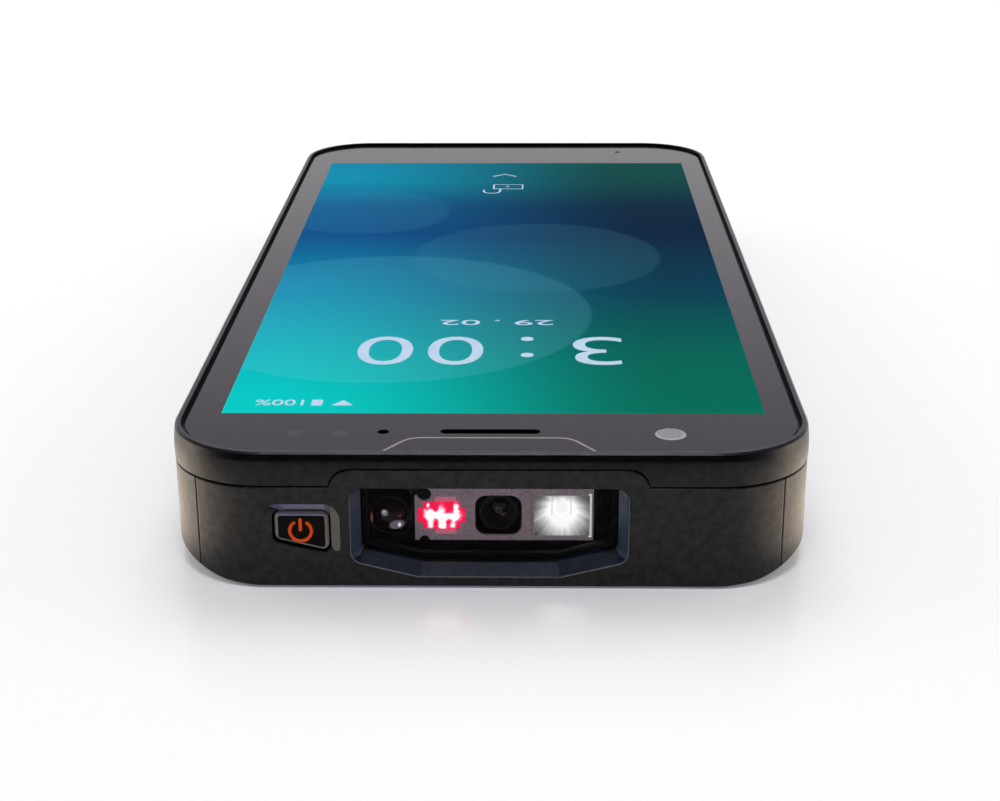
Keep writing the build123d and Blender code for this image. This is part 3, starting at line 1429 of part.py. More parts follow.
def main():
    shell = make_shell()
    nodes = {
        "bezel_ring": make_bezel_ring(),
        "cover_glass": make_cover_glass(),
        "glass_adhesive": make_glass_adhesive(),
        "display_module": make_display_module(),
        "display_flex": make_display_flex(),
        "chassis_plate": make_chassis_plate(),
        "housing_gasket": make_housing_gasket(),
        "nose_cap": make_nose_cap(shell),
        "rear_housing": make_rear_housing(shell),
        "scan_window": make_scan_window(),
        "window_seal": make_window_seal(),
        "engine_body": make_engine_body(),
        "engine_face_plate": make_engine_face_plate(),
        "engine_bracket": make_engine_bracket(),
        "engine_flex": make_engine_flex(),
        "decode_board": make_decode_board(),
        "aimer_lens": make_aimer_lens(),
        "aimer_leds": make_aimer_leds(),
        "camera_barrel": make_camera_barrel(),
        "camera_lens": lens_solid(camera_x, camera_lens_radius - part_gap / 5, camera_lens_y,
                                  camera_lens_depth, camera_lens_crown),
        "light_reflector": make_light_reflector(),
        "light_led": make_light_led(),
        "spot_barrel": make_spot_barrel(),
        "spot_lens": lens_solid(spot_x, spot_lens_radius - part_gap / 5, engine_y - spot_lens_proud,
                                spot_lens_depth, spot_lens_crown),
        "power_button": make_power_button(),
        "power_board": make_power_board(),
        "left_scan_key": make_side_key(*left_keys[0]),
        "volume_up_key": make_side_key(*left_keys[1]),
        "volume_down_key": make_side_key(*left_keys[2]),
        "right_scan_key": mirror(make_side_key(*right_keys[0]), Plane.YZ),
        "function_key": mirror(make_side_key(*right_keys[1]), Plane.YZ),
        "key_boards": make_key_boards(),
        "tact_switches": make_tact_switches(),
        "battery_case": make_battery_case(),
        "battery_lid": make_battery_lid(),
        "battery_cell": make_battery_cell(),
        "battery_board": make_battery_board(),
        "battery_pads": make_battery_pads(),
        "battery_connector": make_battery_connector(),
        "battery_latch": make_battery_latch(),
        "main_board": make_main_board(),
        "shield_cans": make_shield_cans(),
        "housing_screws": make_housing_screws(),
        "small_screws": make_small_screws(),
        "end_board": make_end_board(),
        "usb_socket": make_usb_socket(),
        "cradle_contacts": make_cradle_contacts(),
        "loudspeaker": make_loudspeaker(),
        "speaker_mesh": make_speaker_mesh(),
        "vibration_motor": make_vibration_motor(),
        "vibration_weight": make_vibration_weight(),
        "earpiece_receiver": make_earpiece_receiver(),
        "earpiece_mesh": make_earpiece_mesh(),
        "indicator_lens": make_indicator_lens(),
        "light_sensors": make_light_sensors(),
        "microphones": make_microphones(),
        "rear_camera": make_rear_camera(),
        "rear_camera_window": make_rear_camera_window(),
        "flash_lens": make_flash_lens(),
        "nfc_antenna": make_nfc_antenna(),
    }
    os.makedirs("parts", exist_ok=True)
    for name, shape in nodes.items():
        export_step(shape, f"parts/{name}.step")


main()
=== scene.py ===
import bpy
import bmesh
import math
from mathutils import Matrix, Vector


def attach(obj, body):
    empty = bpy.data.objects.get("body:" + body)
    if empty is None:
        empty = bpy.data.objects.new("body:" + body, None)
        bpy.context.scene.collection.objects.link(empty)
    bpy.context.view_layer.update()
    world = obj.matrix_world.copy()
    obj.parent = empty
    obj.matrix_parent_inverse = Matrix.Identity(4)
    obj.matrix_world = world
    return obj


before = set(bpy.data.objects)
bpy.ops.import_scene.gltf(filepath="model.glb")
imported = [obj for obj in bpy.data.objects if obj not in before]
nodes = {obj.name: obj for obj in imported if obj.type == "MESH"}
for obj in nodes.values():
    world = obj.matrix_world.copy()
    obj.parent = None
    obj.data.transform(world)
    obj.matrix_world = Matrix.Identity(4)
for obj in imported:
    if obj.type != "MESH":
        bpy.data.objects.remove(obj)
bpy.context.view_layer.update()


# small helpers
def mm(value):
    return value / 1000


def toLinear(value):  # "#rrggbb" to the linear values that the nodes take; any other value stays
    if not isinstance(value, str):
        return value
    parts = [int(value[i:i + 2], 16) / 255 for i in (1, 3, 5)]
    return tuple(c / 12.92 if c <= 0.04045 else ((c + 0.055) / 1.055) ** 2.4 for c in parts) + (1.0,)


def setStops(ramp, stops):
    while len(ramp.elements) < len(stops):
        ramp.elements.new(0.5)
    for element, (place, colour) in zip(ramp.elements, stops):
        element.position = place
        element.color = toLinear(colour)


def link(tree, node, links):  # from a named output, or from a node's first one
    for name, source in links.items():
        if isinstance(source, bpy.types.Node):
            source = source.outputs[0]
        tree.links.new(source, node.inputs[name])


def addNode(tree, kind, settings=None, links=None):
    node = tree.nodes.new(kind)
    for name, value in (settings or {}).items():
        if isinstance(name, int) or name in node.inputs:
            node.inputs[name].default_value = toLinear(value)
        elif name == "stops":
            setStops(node.color_ramp, value)
        else:
            setattr(node, name, value)
    link(tree, node, links or {})
    return node


def mottled(tree, size, detail, stops):
    # soft patches of two or more tones, their size in millimetres
    place = addNode(tree, "ShaderNodeTexCoord").outputs["Object"]
    patches = addNode(tree, "ShaderNodeTexNoise", {"Scale": 1000 / size, "Detail": detail}, {"Vector": place})
    return addNode(tree, "ShaderNodeValToRGB", {"stops": stops}, {"Fac": patches})


def newMaterial(name, shaderSettings):
    material = bpy.data.materials.new(name)
    material.use_nodes = True
    tree = material.node_tree
    shader = tree.nodes["Principled BSDF"]
    for key, value in shaderSettings.items():
        shader.inputs[key].default_value = toLinear(value)
    return material, tree, shader


def applyPlacing():
    bpy.ops.object.transform_apply(location=True, rotation=True, scale=True)


def clearSelection():
    if bpy.context.object and bpy.context.object.mode != "OBJECT":
        bpy.ops.object.mode_set(mode="OBJECT")
    bpy.ops.object.select_all(action="DESELECT")


def pick(piece):
    clearSelection()
    piece.select_set(True)
    bpy.context.view_layer.objects.active = piece


def finishPiece(piece, name, material, body):
    pick(piece)
    applyPlacing()
    piece.name = name
    piece.data.name = name
    piece.data.materials.clear()
    piece.data.materials.append(material)
    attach(piece, body)
    return piece


def addModifier(piece, kind, **settings):
    pick(piece)
    modifier = piece.modifiers.new(kind, kind)
    for key, value in settings.items():
        setattr(modifier, key, value)
    bpy.ops.object.modifier_apply(modifier=modifier.name)


def thicken(piece, thickness):  # a flat piece, downwards
    addModifier(piece, "SOLIDIFY", thickness=mm(thickness), offset=-1)


def editAll():
    bpy.ops.object.mode_set(mode="EDIT")
    bpy.ops.mesh.select_all(action="SELECT")


def roundCorners(corner, steps):  # of the flat piece in hand
    editAll()
    bpy.ops.mesh.bevel(offset=mm(corner), segments=steps, affect="VERTICES")
    bpy.ops.object.mode_set(mode="OBJECT")


# camera
cameraSettings = {
    "place": (4.77, -280.25, 98.7),   # millimetres
    "down": 20.67,                   # degrees under the horizon
    "turn": 0.0174,                  # radians towards -X
    "roll": 0.232,                   # degrees
    "lens": 65.27,
}


def makeCamera(settings):
    down, turn, roll = math.radians(settings["down"]), settings["turn"], math.radians(settings["roll"])
    forward = Vector((-math.sin(turn) * math.cos(down), math.cos(turn) * math.cos(down), -math.sin(down)))
    level = Vector((math.cos(turn), math.sin(turn), 0))
    upright = level.cross(forward)
    right = level * math.cos(roll) - upright * math.sin(roll)
    up = right.cross(forward)
    turned = Matrix((right, up, -forward)).transposed().to_4x4()
    bpy.ops.object.camera_add()
    camera = bpy.context.object
    camera.matrix_world = Matrix.Translation(Vector([mm(v) for v in settings["place"]])) @ turned
    camera.data.lens = settings["lens"]
    camera.data.sensor_width = 36
    camera.data.clip_start = 0.005
    bpy.context.scene.camera = camera


makeCamera(cameraSettings)
print("camera placed")


# finishes
# what the moulded plastics share; cloud is the size of their patches, lengths in millimetres
mouldedSettings = {"cloud": 1.1111, "cloudSpan": (0.38, 0.62), "sheenSpan": (0.35, 0.65),
                   "sheenChange": 0.15,
                   "smoother": 0.05, "rougher": 0.07, "grainDepth": 0.05, "edge": 0.2, "specular": 0.5}


def plasticFinish(ownSettings):
    # moulded plastic with a spark-eroded grain: a soft broken gloss and a very slight change of shade
    settings = {**mouldedSettings, **ownSettings}
    material, tree, shader = newMaterial(settings["name"], {"IOR": 1.5})
    place = addNode(tree, "ShaderNodeTexCoord").outputs["Object"]
    grain = addNode(tree, "ShaderNodeTexNoise", {"Scale": 1000 / settings["grain"], "Detail": 3.0,
                                                 "Roughness": 0.6}, {"Vector": place})
    cloud = addNode(tree, "ShaderNodeTexNoise", {"Scale": 1000 / settings["cloud"], "Detail": 4.0,
                                                 "Roughness": 0.6}, {"Vector": place})
    tone = addNode(tree, "ShaderNodeValToRGB", {"stops": list(zip(
        settings["cloudSpan"], (settings["dark"], settings["light"])))}, {"Fac": cloud})
    sheen = addNode(tree, "ShaderNodeMapRange", {
        "From Min": settings["sheenSpan"][0], "From Max": settings["sheenSpan"][1],
        "To Min": settings["specular"] * (1 - settings["sheenChange"]),
        "To Max": settings["specular"] * (1 + settings["sheenChange"])}, {"Value": cloud})
    gloss = addNode(tree, "ShaderNodeMapRange", {
        "To Min": settings["roughness"] - settings["smoother"],
        "To Max": settings["roughness"] + settings["rougher"]}, {"Value": grain})
    edge = addNode(tree, "ShaderNodeBevel", {"samples": 4, "Radius": mm(settings["edge"])})
    bump = addNode(tree, "ShaderNodeBump", {"Strength": settings["bump"],
                                            "Distance": mm(settings["grainDepth"])},
                   {"Height": grain, "Normal": edge})
    link(tree, shader, {"Base Color": tone, "Specular IOR Level": sheen, "Roughness": gloss, "Normal": bump})
    return material


def metalFinish(settings):
    # bare or plated metal: drawn and rolled pieces show fine lines along one way, the others an even grain
    material, tree, shader = newMaterial(settings["name"], {"Metallic": 1.0})
    place = addNode(tree, "ShaderNodeTexCoord").outputs["Object"]
    stretch = addNode(tree, "ShaderNodeMapping", {"Scale": settings.get("lines", (1.0, 12.0, 12.0))},
                      {"Vector": place})
    lines = addNode(tree, "ShaderNodeTexNoise", {"Scale": 1000 / settings["grain"], "Detail": 2.0},
                    {"Vector": stretch})
    tone = addNode(tree, "ShaderNodeValToRGB", {"stops": [(0.25, settings["dark"]),
                                                          (0.75, settings["light"])]},
                   {"Fac": lines})
    gloss = addNode(tree, "ShaderNodeMapRange", {
        "To Min": settings["roughness"] - 0.08, "To Max": settings["roughness"] + 0.08}, {"Value": lines})
    bump = addNode(tree, "ShaderNodeBump", {"Strength": 0.15, "Distance": mm(0.02)}, {"Height": lines})
    link(tree, shader, {"Base Color": tone, "Roughness": gloss, "Normal": bump})
    return material


def clearFinish(settings):
    # clear moulding or polished sheet: seen through, with a weak anti-reflection gloss and faint smears
    material, tree, shader = newMaterial(settings["name"], {
        "Base Color": settings["colour"], "IOR": 1.5, "Alpha": settings["cover"],
        "Specular IOR Level": settings.get("specular", 0.5)})
    place = addNode(tree, "ShaderNodeTexCoord").outputs["Object"]
    smear = addNode(tree, "ShaderNodeTexNoise", {"Scale": 1000 / 16.667, "Detail": 5.0}, {"Vector": place})
    gloss = addNode(tree, "ShaderNodeMapRange", {
        "To Min": settings["roughness"], "To Max": settings["roughness"] + 0.04}, {"Value": smear})
    link(tree, shader, {"Roughness": gloss})
    return material


def boardFinish():
    # glass-epoxy laminate under green solder mask: glossy, with copper tracks as faint paler lines
    material, tree, shader = newMaterial("solder masked laminate", {"Roughness": 0.3, "IOR": 1.5})
    place = addNode(tree, "ShaderNodeTexCoord").outputs["Object"]
    tracks = addNode(tree, "ShaderNodeTexBrick", {
        "Scale": 1000 / 3.3333, "Mortar Size": 0.03,
        "Color1": "#0f4326", "Color2": "#114a2b", "Mortar": "#2a6a3d"}, {"Vector": place})
    link(tree, shader, {"Base Color": tracks})
    return material


plastics = {
    "housing": {"name": "textured polycarbonate", "dark": "#0a0909", "light": "#131212", "roughness": 0.36,
                "grain": 0.35, "bump": 0.35, "specular": 0.42},
    "bezel": {"name": "satin bezel polymer", "dark": "#0a0a0b", "light": "#0f0f10", "roughness": 0.3,
              "grain": 0.2, "bump": 0.12, "edge": 0.15, "specular": 0.32},
    "key": {"name": "soft touch key cap", "dark": "#080605", "light": "#0d0a09", "roughness": 0.42,
            "grain": 0.15, "bump": 0.15, "edge": 0.1, "specular": 0.3},
    # its bevels get painted highlights below
    "powerKey": {"name": "soft touch cap with painted bevel highlights", "dark": "#030201", "light": "#050302",
                 "roughness": 0.42,
                 "grain": 0.15, "bump": 0.1, "edge": 0.08, "specular": 0.12},
    "silicone": {"name": "black silicone rubber", "dark": "#080808", "light": "#0c0c0c", "roughness": 0.7,
                 "grain": 0.3, "bump": 0.1, "specular": 0.3},
    "engineBlack": {"name": "black engine casting", "dark": "#040202", "light": "#080505", "roughness": 0.45,
                    "grain": 0.2, "bump": 0.3, "specular": 0.2},
    "pocket": {"name": "brown black lens pocket", "dark": "#150a0c", "light": "#1e1114", "roughness": 0.4,
               "grain": 0.2, "bump": 0.2, "specular": 0.3},
    "moulding": {"name": "black inner moulding", "dark": "#0d0d0d", "light": "#131313", "roughness": 0.5,
                 "grain": 0.3, "bump": 0.2},
    "latch": {"name": "acetal latch moulding", "dark": "#17171a", "light": "#1d1d20", "roughness": 0.42,
              "grain": 0.3, "bump": 0.15},
    "ribbon": {"name": "polyimide ribbon", "dark": "#8a4a12", "light": "#a35a18", "roughness": 0.35,
               "grain": 0.6, "bump": 0.1},
    "ferrite": {"name": "ferrite sheet", "dark": "#1d1a1a", "light": "#3a2a22", "roughness": 0.6,
                "grain": 0.5, "bump": 0.3},
    "frosted": {"name": "frosted light pipe", "dark": "#aaa7b1", "light": "#c4c1cb", "roughness": 0.4,
                "grain": 0.5, "bump": 0.2},
    "orangeInk": {"name": "orange pad print", "dark": "#fa5000", "light": "#ff5c00", "roughness": 0.5,
                  "grain": 0.2, "bump": 0.1, "specular": 0.2},
}
# the nose: the housing's plastic, with painted highlights on its recess, base bevel and pad below
plastics["nose"] = {**plastics["housing"], "name": "textured polycarbonate with painted highlights"}
unlined = (1.0, 1.0, 1.0)
metals = {
    "tinnedSteel": {"name": "tinned sheet steel", "dark": "#8c8c90", "light": "#b4b4b8", "roughness": 0.32,
                    "grain": 0.5},
    "blackScrew": {"name": "blackened steel screw", "dark": "#1c1c1e", "light": "#2c2c2f", "roughness": 0.4,
                   "grain": 0.3},
    "goldPad": {"name": "gold plated contact", "dark": "#b98a3a", "light": "#e0b45c", "roughness": 0.25,
                "grain": 0.4},
    "magnesium": {"name": "cast magnesium", "dark": "#7d7f82", "light": "#a3a5a8", "roughness": 0.5,
                  "grain": 0.8,
                  "lines": unlined},
    "mesh": {"name": "woven steel mesh", "dark": "#060606", "light": "#2e2e31", "roughness": 0.45,
             "grain": 0.25,
             "lines": unlined},
    "pouch": {"name": "aluminium pouch foil", "dark": "#a5a6ab", "light": "#c8c9ce", "roughness": 0.3,
              "grain": 2.0,
              "lines": unlined},
    "tungsten": {"name": "sintered tungsten", "dark": "#6d685f", "light": "#8d877b", "roughness": 0.45,
                 "grain": 0.4,
                 "lines": unlined},
}
clears = {
    "coverGlass": {"name": "strengthened cover glass", "colour": "#0a0a0c", "cover": 0.05, "roughness": 0.02},
    "windowSheet": {"name": "hard coated scan window", "colour": "#080304", "cover": 0.12, "roughness": 0.03,
                    "specular": 0.3},
    "cameraWindow": {"name": "tinted camera window", "colour": "#070709", "cover": 0.75, "roughness": 0.03},
}
finishes = {}
for family, build in ((plastics, plasticFinish), (metals, metalFinish), (clears, clearFinish)):
    for key, settings in family.items():
        finishes[key] = build(settings)
finishes["board"] = boardFinish()


def faceMask(tree, tests):
    # 1 on the faces that pass every test of which way they face and where they lie; X counts on both sides
    surface = addNode(tree, "ShaderNodeNewGeometry")
    place = addNode(tree, "ShaderNodeTexCoord").outputs["Object"]
    sources = {"facing": addNode(tree, "ShaderNodeSeparateXYZ", None, {"Vector": surface.outputs["Normal"]}),
               "place": addNode(tree, "ShaderNodeSeparateXYZ", None, {"Vector": place})}
    mask = None
    for source, axis, low, high in tests:
        value = sources[source].outputs[axis]
        if axis == "X":
            value = addNode(tree, "ShaderNodeMath", {"operation": "ABSOLUTE"}, {0: value})
        unit = mm(1) if source == "place" else 1
        inside = addNode(tree, "ShaderNodeMath", {
            "operation": "COMPARE", 1: (low + high) / 2 * unit, 2: (high - low) / 2 * unit}, {0: value})
        if mask is not None:
            inside = addNode(tree, "ShaderNodeMath", {"operation": "MULTIPLY"}, {0: mask, 1: inside})
        mask = inside
    return mask


def awayFrom(tree, centre, halves):
    # distance from a place in half sizes along X, Y and Z, all in millimetres; 0 leaves an axis out
    place = addNode(tree, "ShaderNodeTexCoord").outputs["Object"]
    moved = addNode(tree, "ShaderNodeVectorMath", {"operation": "SUBTRACT", 1: [mm(v) for v in centre]},
                    {0: place})
    shares = [1 / mm(half) if half else 0 for half in halves]
    measured = addNode(tree, "ShaderNodeVectorMath", {"operation": "MULTIPLY", 1: shares}, {0: moved})
    return addNode(tree, "ShaderNodeVectorMath", {"operation": "LENGTH"}, {0: measured}).outputs["Value"]


def paintLightOnFaces(material, rules):  # paints light and shade on some faces: each rule's colour is a painted highlight or painted reflection
    tree = material.node_tree
    shader = tree.nodes["Principled BSDF"]
    colour = shader.inputs["Base Color"].links[0].from_socket
    for tone, tests in rules:
        colour = addNode(tree, "ShaderNodeMixRGB", {"Color2": tone},
                         {"Fac": faceMask(tree, tests), "Color1": colour})
    link(tree, shader, {"Base Color": colour})


def shadeBrow(material, settings):
    # the front of the frame lies in the lip's shade near its top: little gloss there
    tree = material.node_tree
    shader = tree.nodes["Principled BSDF"]
    surface = addNode(tree, "ShaderNodeNewGeometry")
    facing = addNode(tree, "ShaderNodeSeparateXYZ", None, {"Vector": surface.outputs["Normal"]})
    place = addNode(tree, "ShaderNodeTexCoord").outputs["Object"]
    parts = addNode(tree, "ShaderNodeSeparateXYZ", None, {"Vector": place})
    ahead = addNode(tree, "ShaderNodeMapRange", {
        "From Min": -settings["turned"], "From Max": -settings["ahead"], "interpolation_type": "SMOOTHSTEP"},
                    {"Value": facing.outputs["Y"]})
    high = addNode(tree, "ShaderNodeMapRange", {
        "From Min": mm(settings["start"]), "From Max": mm(settings["full"]),
        "interpolation_type": "SMOOTHSTEP"},
                   {"Value": parts.outputs["Z"]})
    shade = addNode(tree, "ShaderNodeMath", {"operation": "MULTIPLY"}, {0: ahead, 1: high})
    for name, kept in settings["kept"].items():
        before = shader.inputs[name].links[0].from_socket
        left = addNode(tree, "ShaderNodeMapRange", {"To Min": 1.0, "To Max": kept}, {"Value": shade})
        scaled = addNode(tree, "ShaderNodeVectorMath", {"operation": "SCALE"}, {0: before, "Scale": left})
        link(tree, shader, {name: scaled})


paintLightOnFaces(finishes["nose"], [
    ("#38465a", [("facing", "X", 0.5, 0.98), ("place", "X", 14.5, 16.8)]),  # painted bluish highlight on the recess's sides
    # painted reflection on its foot, then a painted highlight on its edge
    ("#101a2c", [("facing", "Z", 0.25, 0.98), ("place", "X", 0.0, 16.8), ("place", "Z", 0.0, 4.0)]),
    ("#5c5e64", [("facing", "Y", -0.85, -0.6), ("place", "X", 0.0, 17.2), ("place", "Z", 1.5, 13.0)]),
    # painted highlights on the bevel along the base, then on the top and the side of the button's pad
    ("#b4b4cc", [("facing", "Y", -0.9, -0.5), ("facing", "Z", -0.9, -0.5), ("place", "Z", -0.1, 0.5)]),
    ("#524e66", [("facing", "Z", 0.3, 0.98), ("place", "X", 17.0, 30.0), ("place", "Z", 10.0, 13.0)]),
    ("#6e665e", [("facing", "X", 0.2, 0.98), ("place", "X", 17.8, 18.95), ("place", "Z", 5.0, 12.0)]),
])
paintLightOnFaces(finishes["powerKey"], [  # painted highlights on its bevels, then a bluish one on the bevel that faces up
    ("#8d8683", [("facing", "Y", -0.95, -0.4)]),
    ("#7d7b92", [("facing", "Y", -0.95, -0.4), ("facing", "Z", 0.3, 0.98)]),
])
# painted reflection: the lip's upward faces a little lighter and bluish
paintLightOnFaces(finishes["bezel"], [("#1a1922", [("facing", "Z", 0.6, 1.0)])])
shadeBrow(finishes["bezel"], {"turned": 0.8, "ahead": 0.97, "start": 16.25, "full": 16.8,
                              "kept": {"Specular IOR Level": 0.12, "Base Color": 0.6}})
print("finishes made:", len(finishes))


# what the scan engine shows
engineSettings = {
    # X and Z of each bright spot of the aimer with its half width and half height, millimetres
    "spots": [(-7.52, 7.65, 0.7, 0.85), (-5.95, 7.55, 0.62, 1.5), (-4.15, 7.35, 0.75, 0.85),
              (-6.85, 7.35, 0.9, 0.6),
              (-5.05, 7.2, 0.9, 0.5), (-7.3, 6.2, 0.5, 0.75), (-5.85, 6.1, 0.6, 0.7), (-4.6, 6.1, 0.42, 0.45),
              (-7.6, 8.75, 0.18, 0.34), (-4.15, 8.5, 0.36, 0.7)],
    "spotGrain": 0.45,
    "aimerZ": 7.4,
    "tabStart": 1.85,                # from the aimer's middle up or down to its clear tabs
    "lightMiddle": (8.8, 6.85),
    "lightRimX": 12.0,
    "plateGrain": 0.09,
    "plateGlow": 0.62, "aimerGlow": 1.25, "funnelGlow": 1.15,
}
# what each lens mirrors: X and Z from its middle, half width, half height, colour, strength
lensSettings = {
    "spotDome": {"name": "brown coated lens", "base": "#0c0302", "middle": (-12.4, 7.4), "mirrored": [
        (-0.45, 0.6, 0.45, 0.42, "#8a8090", 0.75), (-0.5, 0.75, 0.16, 0.16, "#d8d0e0", 0.85),
        (1.0, -1.15, 0.95, 0.78, "#75687e", 0.8), (1.3, -1.2, 0.2, 0.4, "#f4eef8", 0.9),
        (1.4, 0.1, 0.2, 0.18, "#a01018", 0.5), (-2.1, -0.5, 0.12, 0.9, "#9a6a58", 0.6)]},
    "cameraDome": {"name": "violet coated lens", "base": "#0e0507", "middle": (1.0, 6.95), "mirrored": [
        (0.0, 0.0, 0.44, 0.44, "#4a464a", 0.7), (0.0, 0.0, 0.32, 0.32, "#0c080a", 0.9),
        (0.75, -0.75, 0.5, 0.42, "#4c3b50", 0.8), (-0.3, 0.3, 0.12, 0.1, "#605a60", 0.7)]},
}


def speckledPlate(settings):
    # mineral filled plastic, seen by the light of its own diodes: grey-mauve with fine dark and pale grains
    material, tree, shader = newMaterial("speckled filled plastic", {
        "Roughness": 0.6, "Emission Strength": settings["plateGlow"]})
    tone = mottled(tree, settings["plateGrain"], 1.0,
                   [(0.34, "#50434a"), (0.5, "#6d5e68"), (0.68, "#8a7c86")])
    link(tree, shader, {"Base Color": tone, "Emission Color": tone})
    return material


def redAimer(settings):
    # clear red acrylic lit from behind: white-hot spots that fade to crimson, with dull tabs above and below
    material, tree, shader = newMaterial("lit red acrylic", {
        "Base Color": "#400010", "Roughness": 0.15, "Emission Strength": settings["aimerGlow"]})
    place = addNode(tree, "ShaderNodeTexCoord").outputs["Object"]
    ripple = addNode(tree, "ShaderNodeTexNoise", {"Scale": 1000 / settings["spotGrain"], "Detail": 2.0},
                     {"Vector": place})
    total = None
    for x, z, halfWidth, halfHeight in settings["spots"]:
        far = awayFrom(tree, (x, 0, z), (halfWidth, 0, halfHeight))
        uneven = addNode(tree, "ShaderNodeMath", {"operation": "ADD"}, {0: far, 1: ripple})
        near = addNode(tree, "ShaderNodeMapRange", {
            "From Min": 2.0, "From Max": 0.75, "interpolation_type": "SMOOTHSTEP"}, {"Value": uneven})
        if total is not None:
            near = addNode(tree, "ShaderNodeMath", {"operation": "ADD", "use_clamp": True},
                           {0: total, 1: near})
        total = near
    tone = addNode(tree, "ShaderNodeValToRGB", {"stops": [
        (0.0, "#f00040"), (0.3, "#ff0c58"), (0.55, "#ff5a86"), (0.75, "#ffb4c4"), (0.95, "#ffffff")]},
                   {"Fac": total})
    parts = addNode(tree, "ShaderNodeSeparateXYZ", None, {"Vector": place})
    height = addNode(tree, "ShaderNodeMath", {"operation": "SUBTRACT", 1: mm(settings["aimerZ"])},
                     {0: parts.outputs["Z"]})
    height = addNode(tree, "ShaderNodeMath", {"operation": "ABSOLUTE"}, {0: height})
    tab = addNode(tree, "ShaderNodeMapRange", {
        "From Min": mm(settings["tabStart"] - 0.1), "From Max": mm(settings["tabStart"] + 0.1)},
                  {"Value": height})
    seen = addNode(tree, "ShaderNodeMixRGB", {"Color2": "#a85a6c"}, {"Fac": tab, "Color1": tone})
    link(tree, shader, {"Emission Color": seen})
    return material


def litReflector(name, settings, rimmed):
    # metallised funnel round a white diode, the diode's light in it painted as a glow: a white middle, rays
    # that fade to dim corners, a flat rim painted grey and pale at its outer end
    material, tree, shader = newMaterial(name, {
        "Base Color": "#3a3a3c", "Roughness": 0.35, "Emission Strength": settings["funnelGlow"]})
    x, z = settings["lightMiddle"]
    place = addNode(tree, "ShaderNodeTexCoord").outputs["Object"]
    moved = addNode(tree, "ShaderNodeVectorMath", {"operation": "SUBTRACT", 1: (mm(x), 0.0, mm(z))},
                    {0: place})
    parts = addNode(tree, "ShaderNodeSeparateXYZ", None, {"Vector": moved})
    angle = addNode(tree, "ShaderNodeMath", {"operation": "ARCTAN2"},
                    {0: parts.outputs["Z"], 1: parts.outputs["X"]})
    rays = addNode(tree, "ShaderNodeTexNoise", {"noise_dimensions": "1D", "Scale": 3.0, "Detail": 3.0},
                   {"W": angle})
    length = addNode(tree, "ShaderNodeMapRange", {
        "From Min": 0.3, "From Max": 0.7, "To Min": 3.0, "To Max": 3.8}, {"Value": rays})
    reach = addNode(tree, "ShaderNodeMath", {"operation": "DIVIDE"},
                    {0: awayFrom(tree, (x, 0, z), (1.25, 0, 1)), 1: length})
    colour = addNode(tree, "ShaderNodeValToRGB", {"stops": [
        (0.42, "#ffffff"), (0.58, "#c8c8c9"), (0.78, "#7c7c7d"), (1.0, "#3a3a3b")]}, {"Fac": reach})
    if rimmed:
        rimX = settings["lightRimX"]
        for shade, left in (("#5f5a5e", 0.0), ("#c9c4c9", rimX)):
            rim = faceMask(tree, [("facing", "Y", -1.0, -0.98), ("place", "X", left, rimX + 1)])
            colour = addNode(tree, "ShaderNodeMixRGB", {"Color2": shade}, {"Fac": rim, "Color1": colour})
    link(tree, shader, {"Emission Color": colour})
    return material


def litDiode(name, colour, strength):
    # chip of a lit diode: far brighter than its surroundings, with a darker grain
    material, tree, shader = newMaterial(name, {
        "Base Color": colour, "Roughness": 0.4, "Emission Strength": strength})
    place = addNode(tree, "ShaderNodeTexCoord").outputs["Object"]
    grain = addNode(tree, "ShaderNodeTexNoise", {"Scale": 1000 / 0.4}, {"Vector": place})
    tone = addNode(tree, "ShaderNodeMixRGB", {"Color1": colour, "Color2": "#ffffff"}, {"Fac": grain})
    link(tree, shader, {"Emission Color": tone})
    return material


def domedGlass(settings):
    # coated lens dome: nearly black, with the soft shapes that it mirrors
    material, tree, shader = newMaterial(settings["name"], {
        "Base Color": settings["base"], "Roughness": 0.08, "Specular IOR Level": 0.4,
        "Emission Strength": 1.0})
    colour = None
    for x, z, halfWidth, halfHeight, tone, strength in settings["mirrored"]:
        far = awayFrom(tree, (settings["middle"][0] + x, 0, settings["middle"][1] + z),
                       (halfWidth, 0, halfHeight))
        near = addNode(tree, "ShaderNodeMapRange", {
            "From Min": 1.1, "From Max": 0.75, "To Max": strength, "interpolation_type": "SMOOTHSTEP"},
                       {"Value": far})
        mixed = addNode(tree, "ShaderNodeMixRGB", {"Color1": "#000000", "Color2": tone}, {"Fac": near})
        if colour is not None:
            link(tree, mixed, {"Color1": colour})
        colour = mixed
    link(tree, shader, {"Emission Color": colour})
    return material


def frostedIndicator(settings):
    # frosted light pipe seen under the glass: mid grey with a painted highlight as a paler rim
    material, tree, shader = newMaterial("frosted indicator lens", {"Roughness": 0.5})
    far = awayFrom(tree, (*settings["middle"], 0), (settings["radius"], settings["radius"], 0))
    rim = addNode(tree, "ShaderNodeMapRange", {"From Min": 0.78}, {"Value": far})
    tone = addNode(tree, "ShaderNodeMixRGB", {"Color1": "#828086", "Color2": "#b4b2b8"}, {"Fac": rim})
    link(tree, shader, {"Base Color": tone})
    return material


for key, settings in lensSettings.items():
    finishes[key] = domedGlass(settings)
finishes["indicator"] = frostedIndicator({"middle": (21.9, -75.55), "radius": 1.93})
finishes["facePlate"] = speckledPlate(engineSettings)
finishes["aimer"] = redAimer(engineSettings)
finishes["funnel"] = litReflector("lit metallised funnel", engineSettings, True)
finishes["whiteDiode"] = litReflector("lit phosphor", engineSettings, False)
finishes["redDiode"] = litDiode("lit red diode", "#ff0a4a", 1.5)

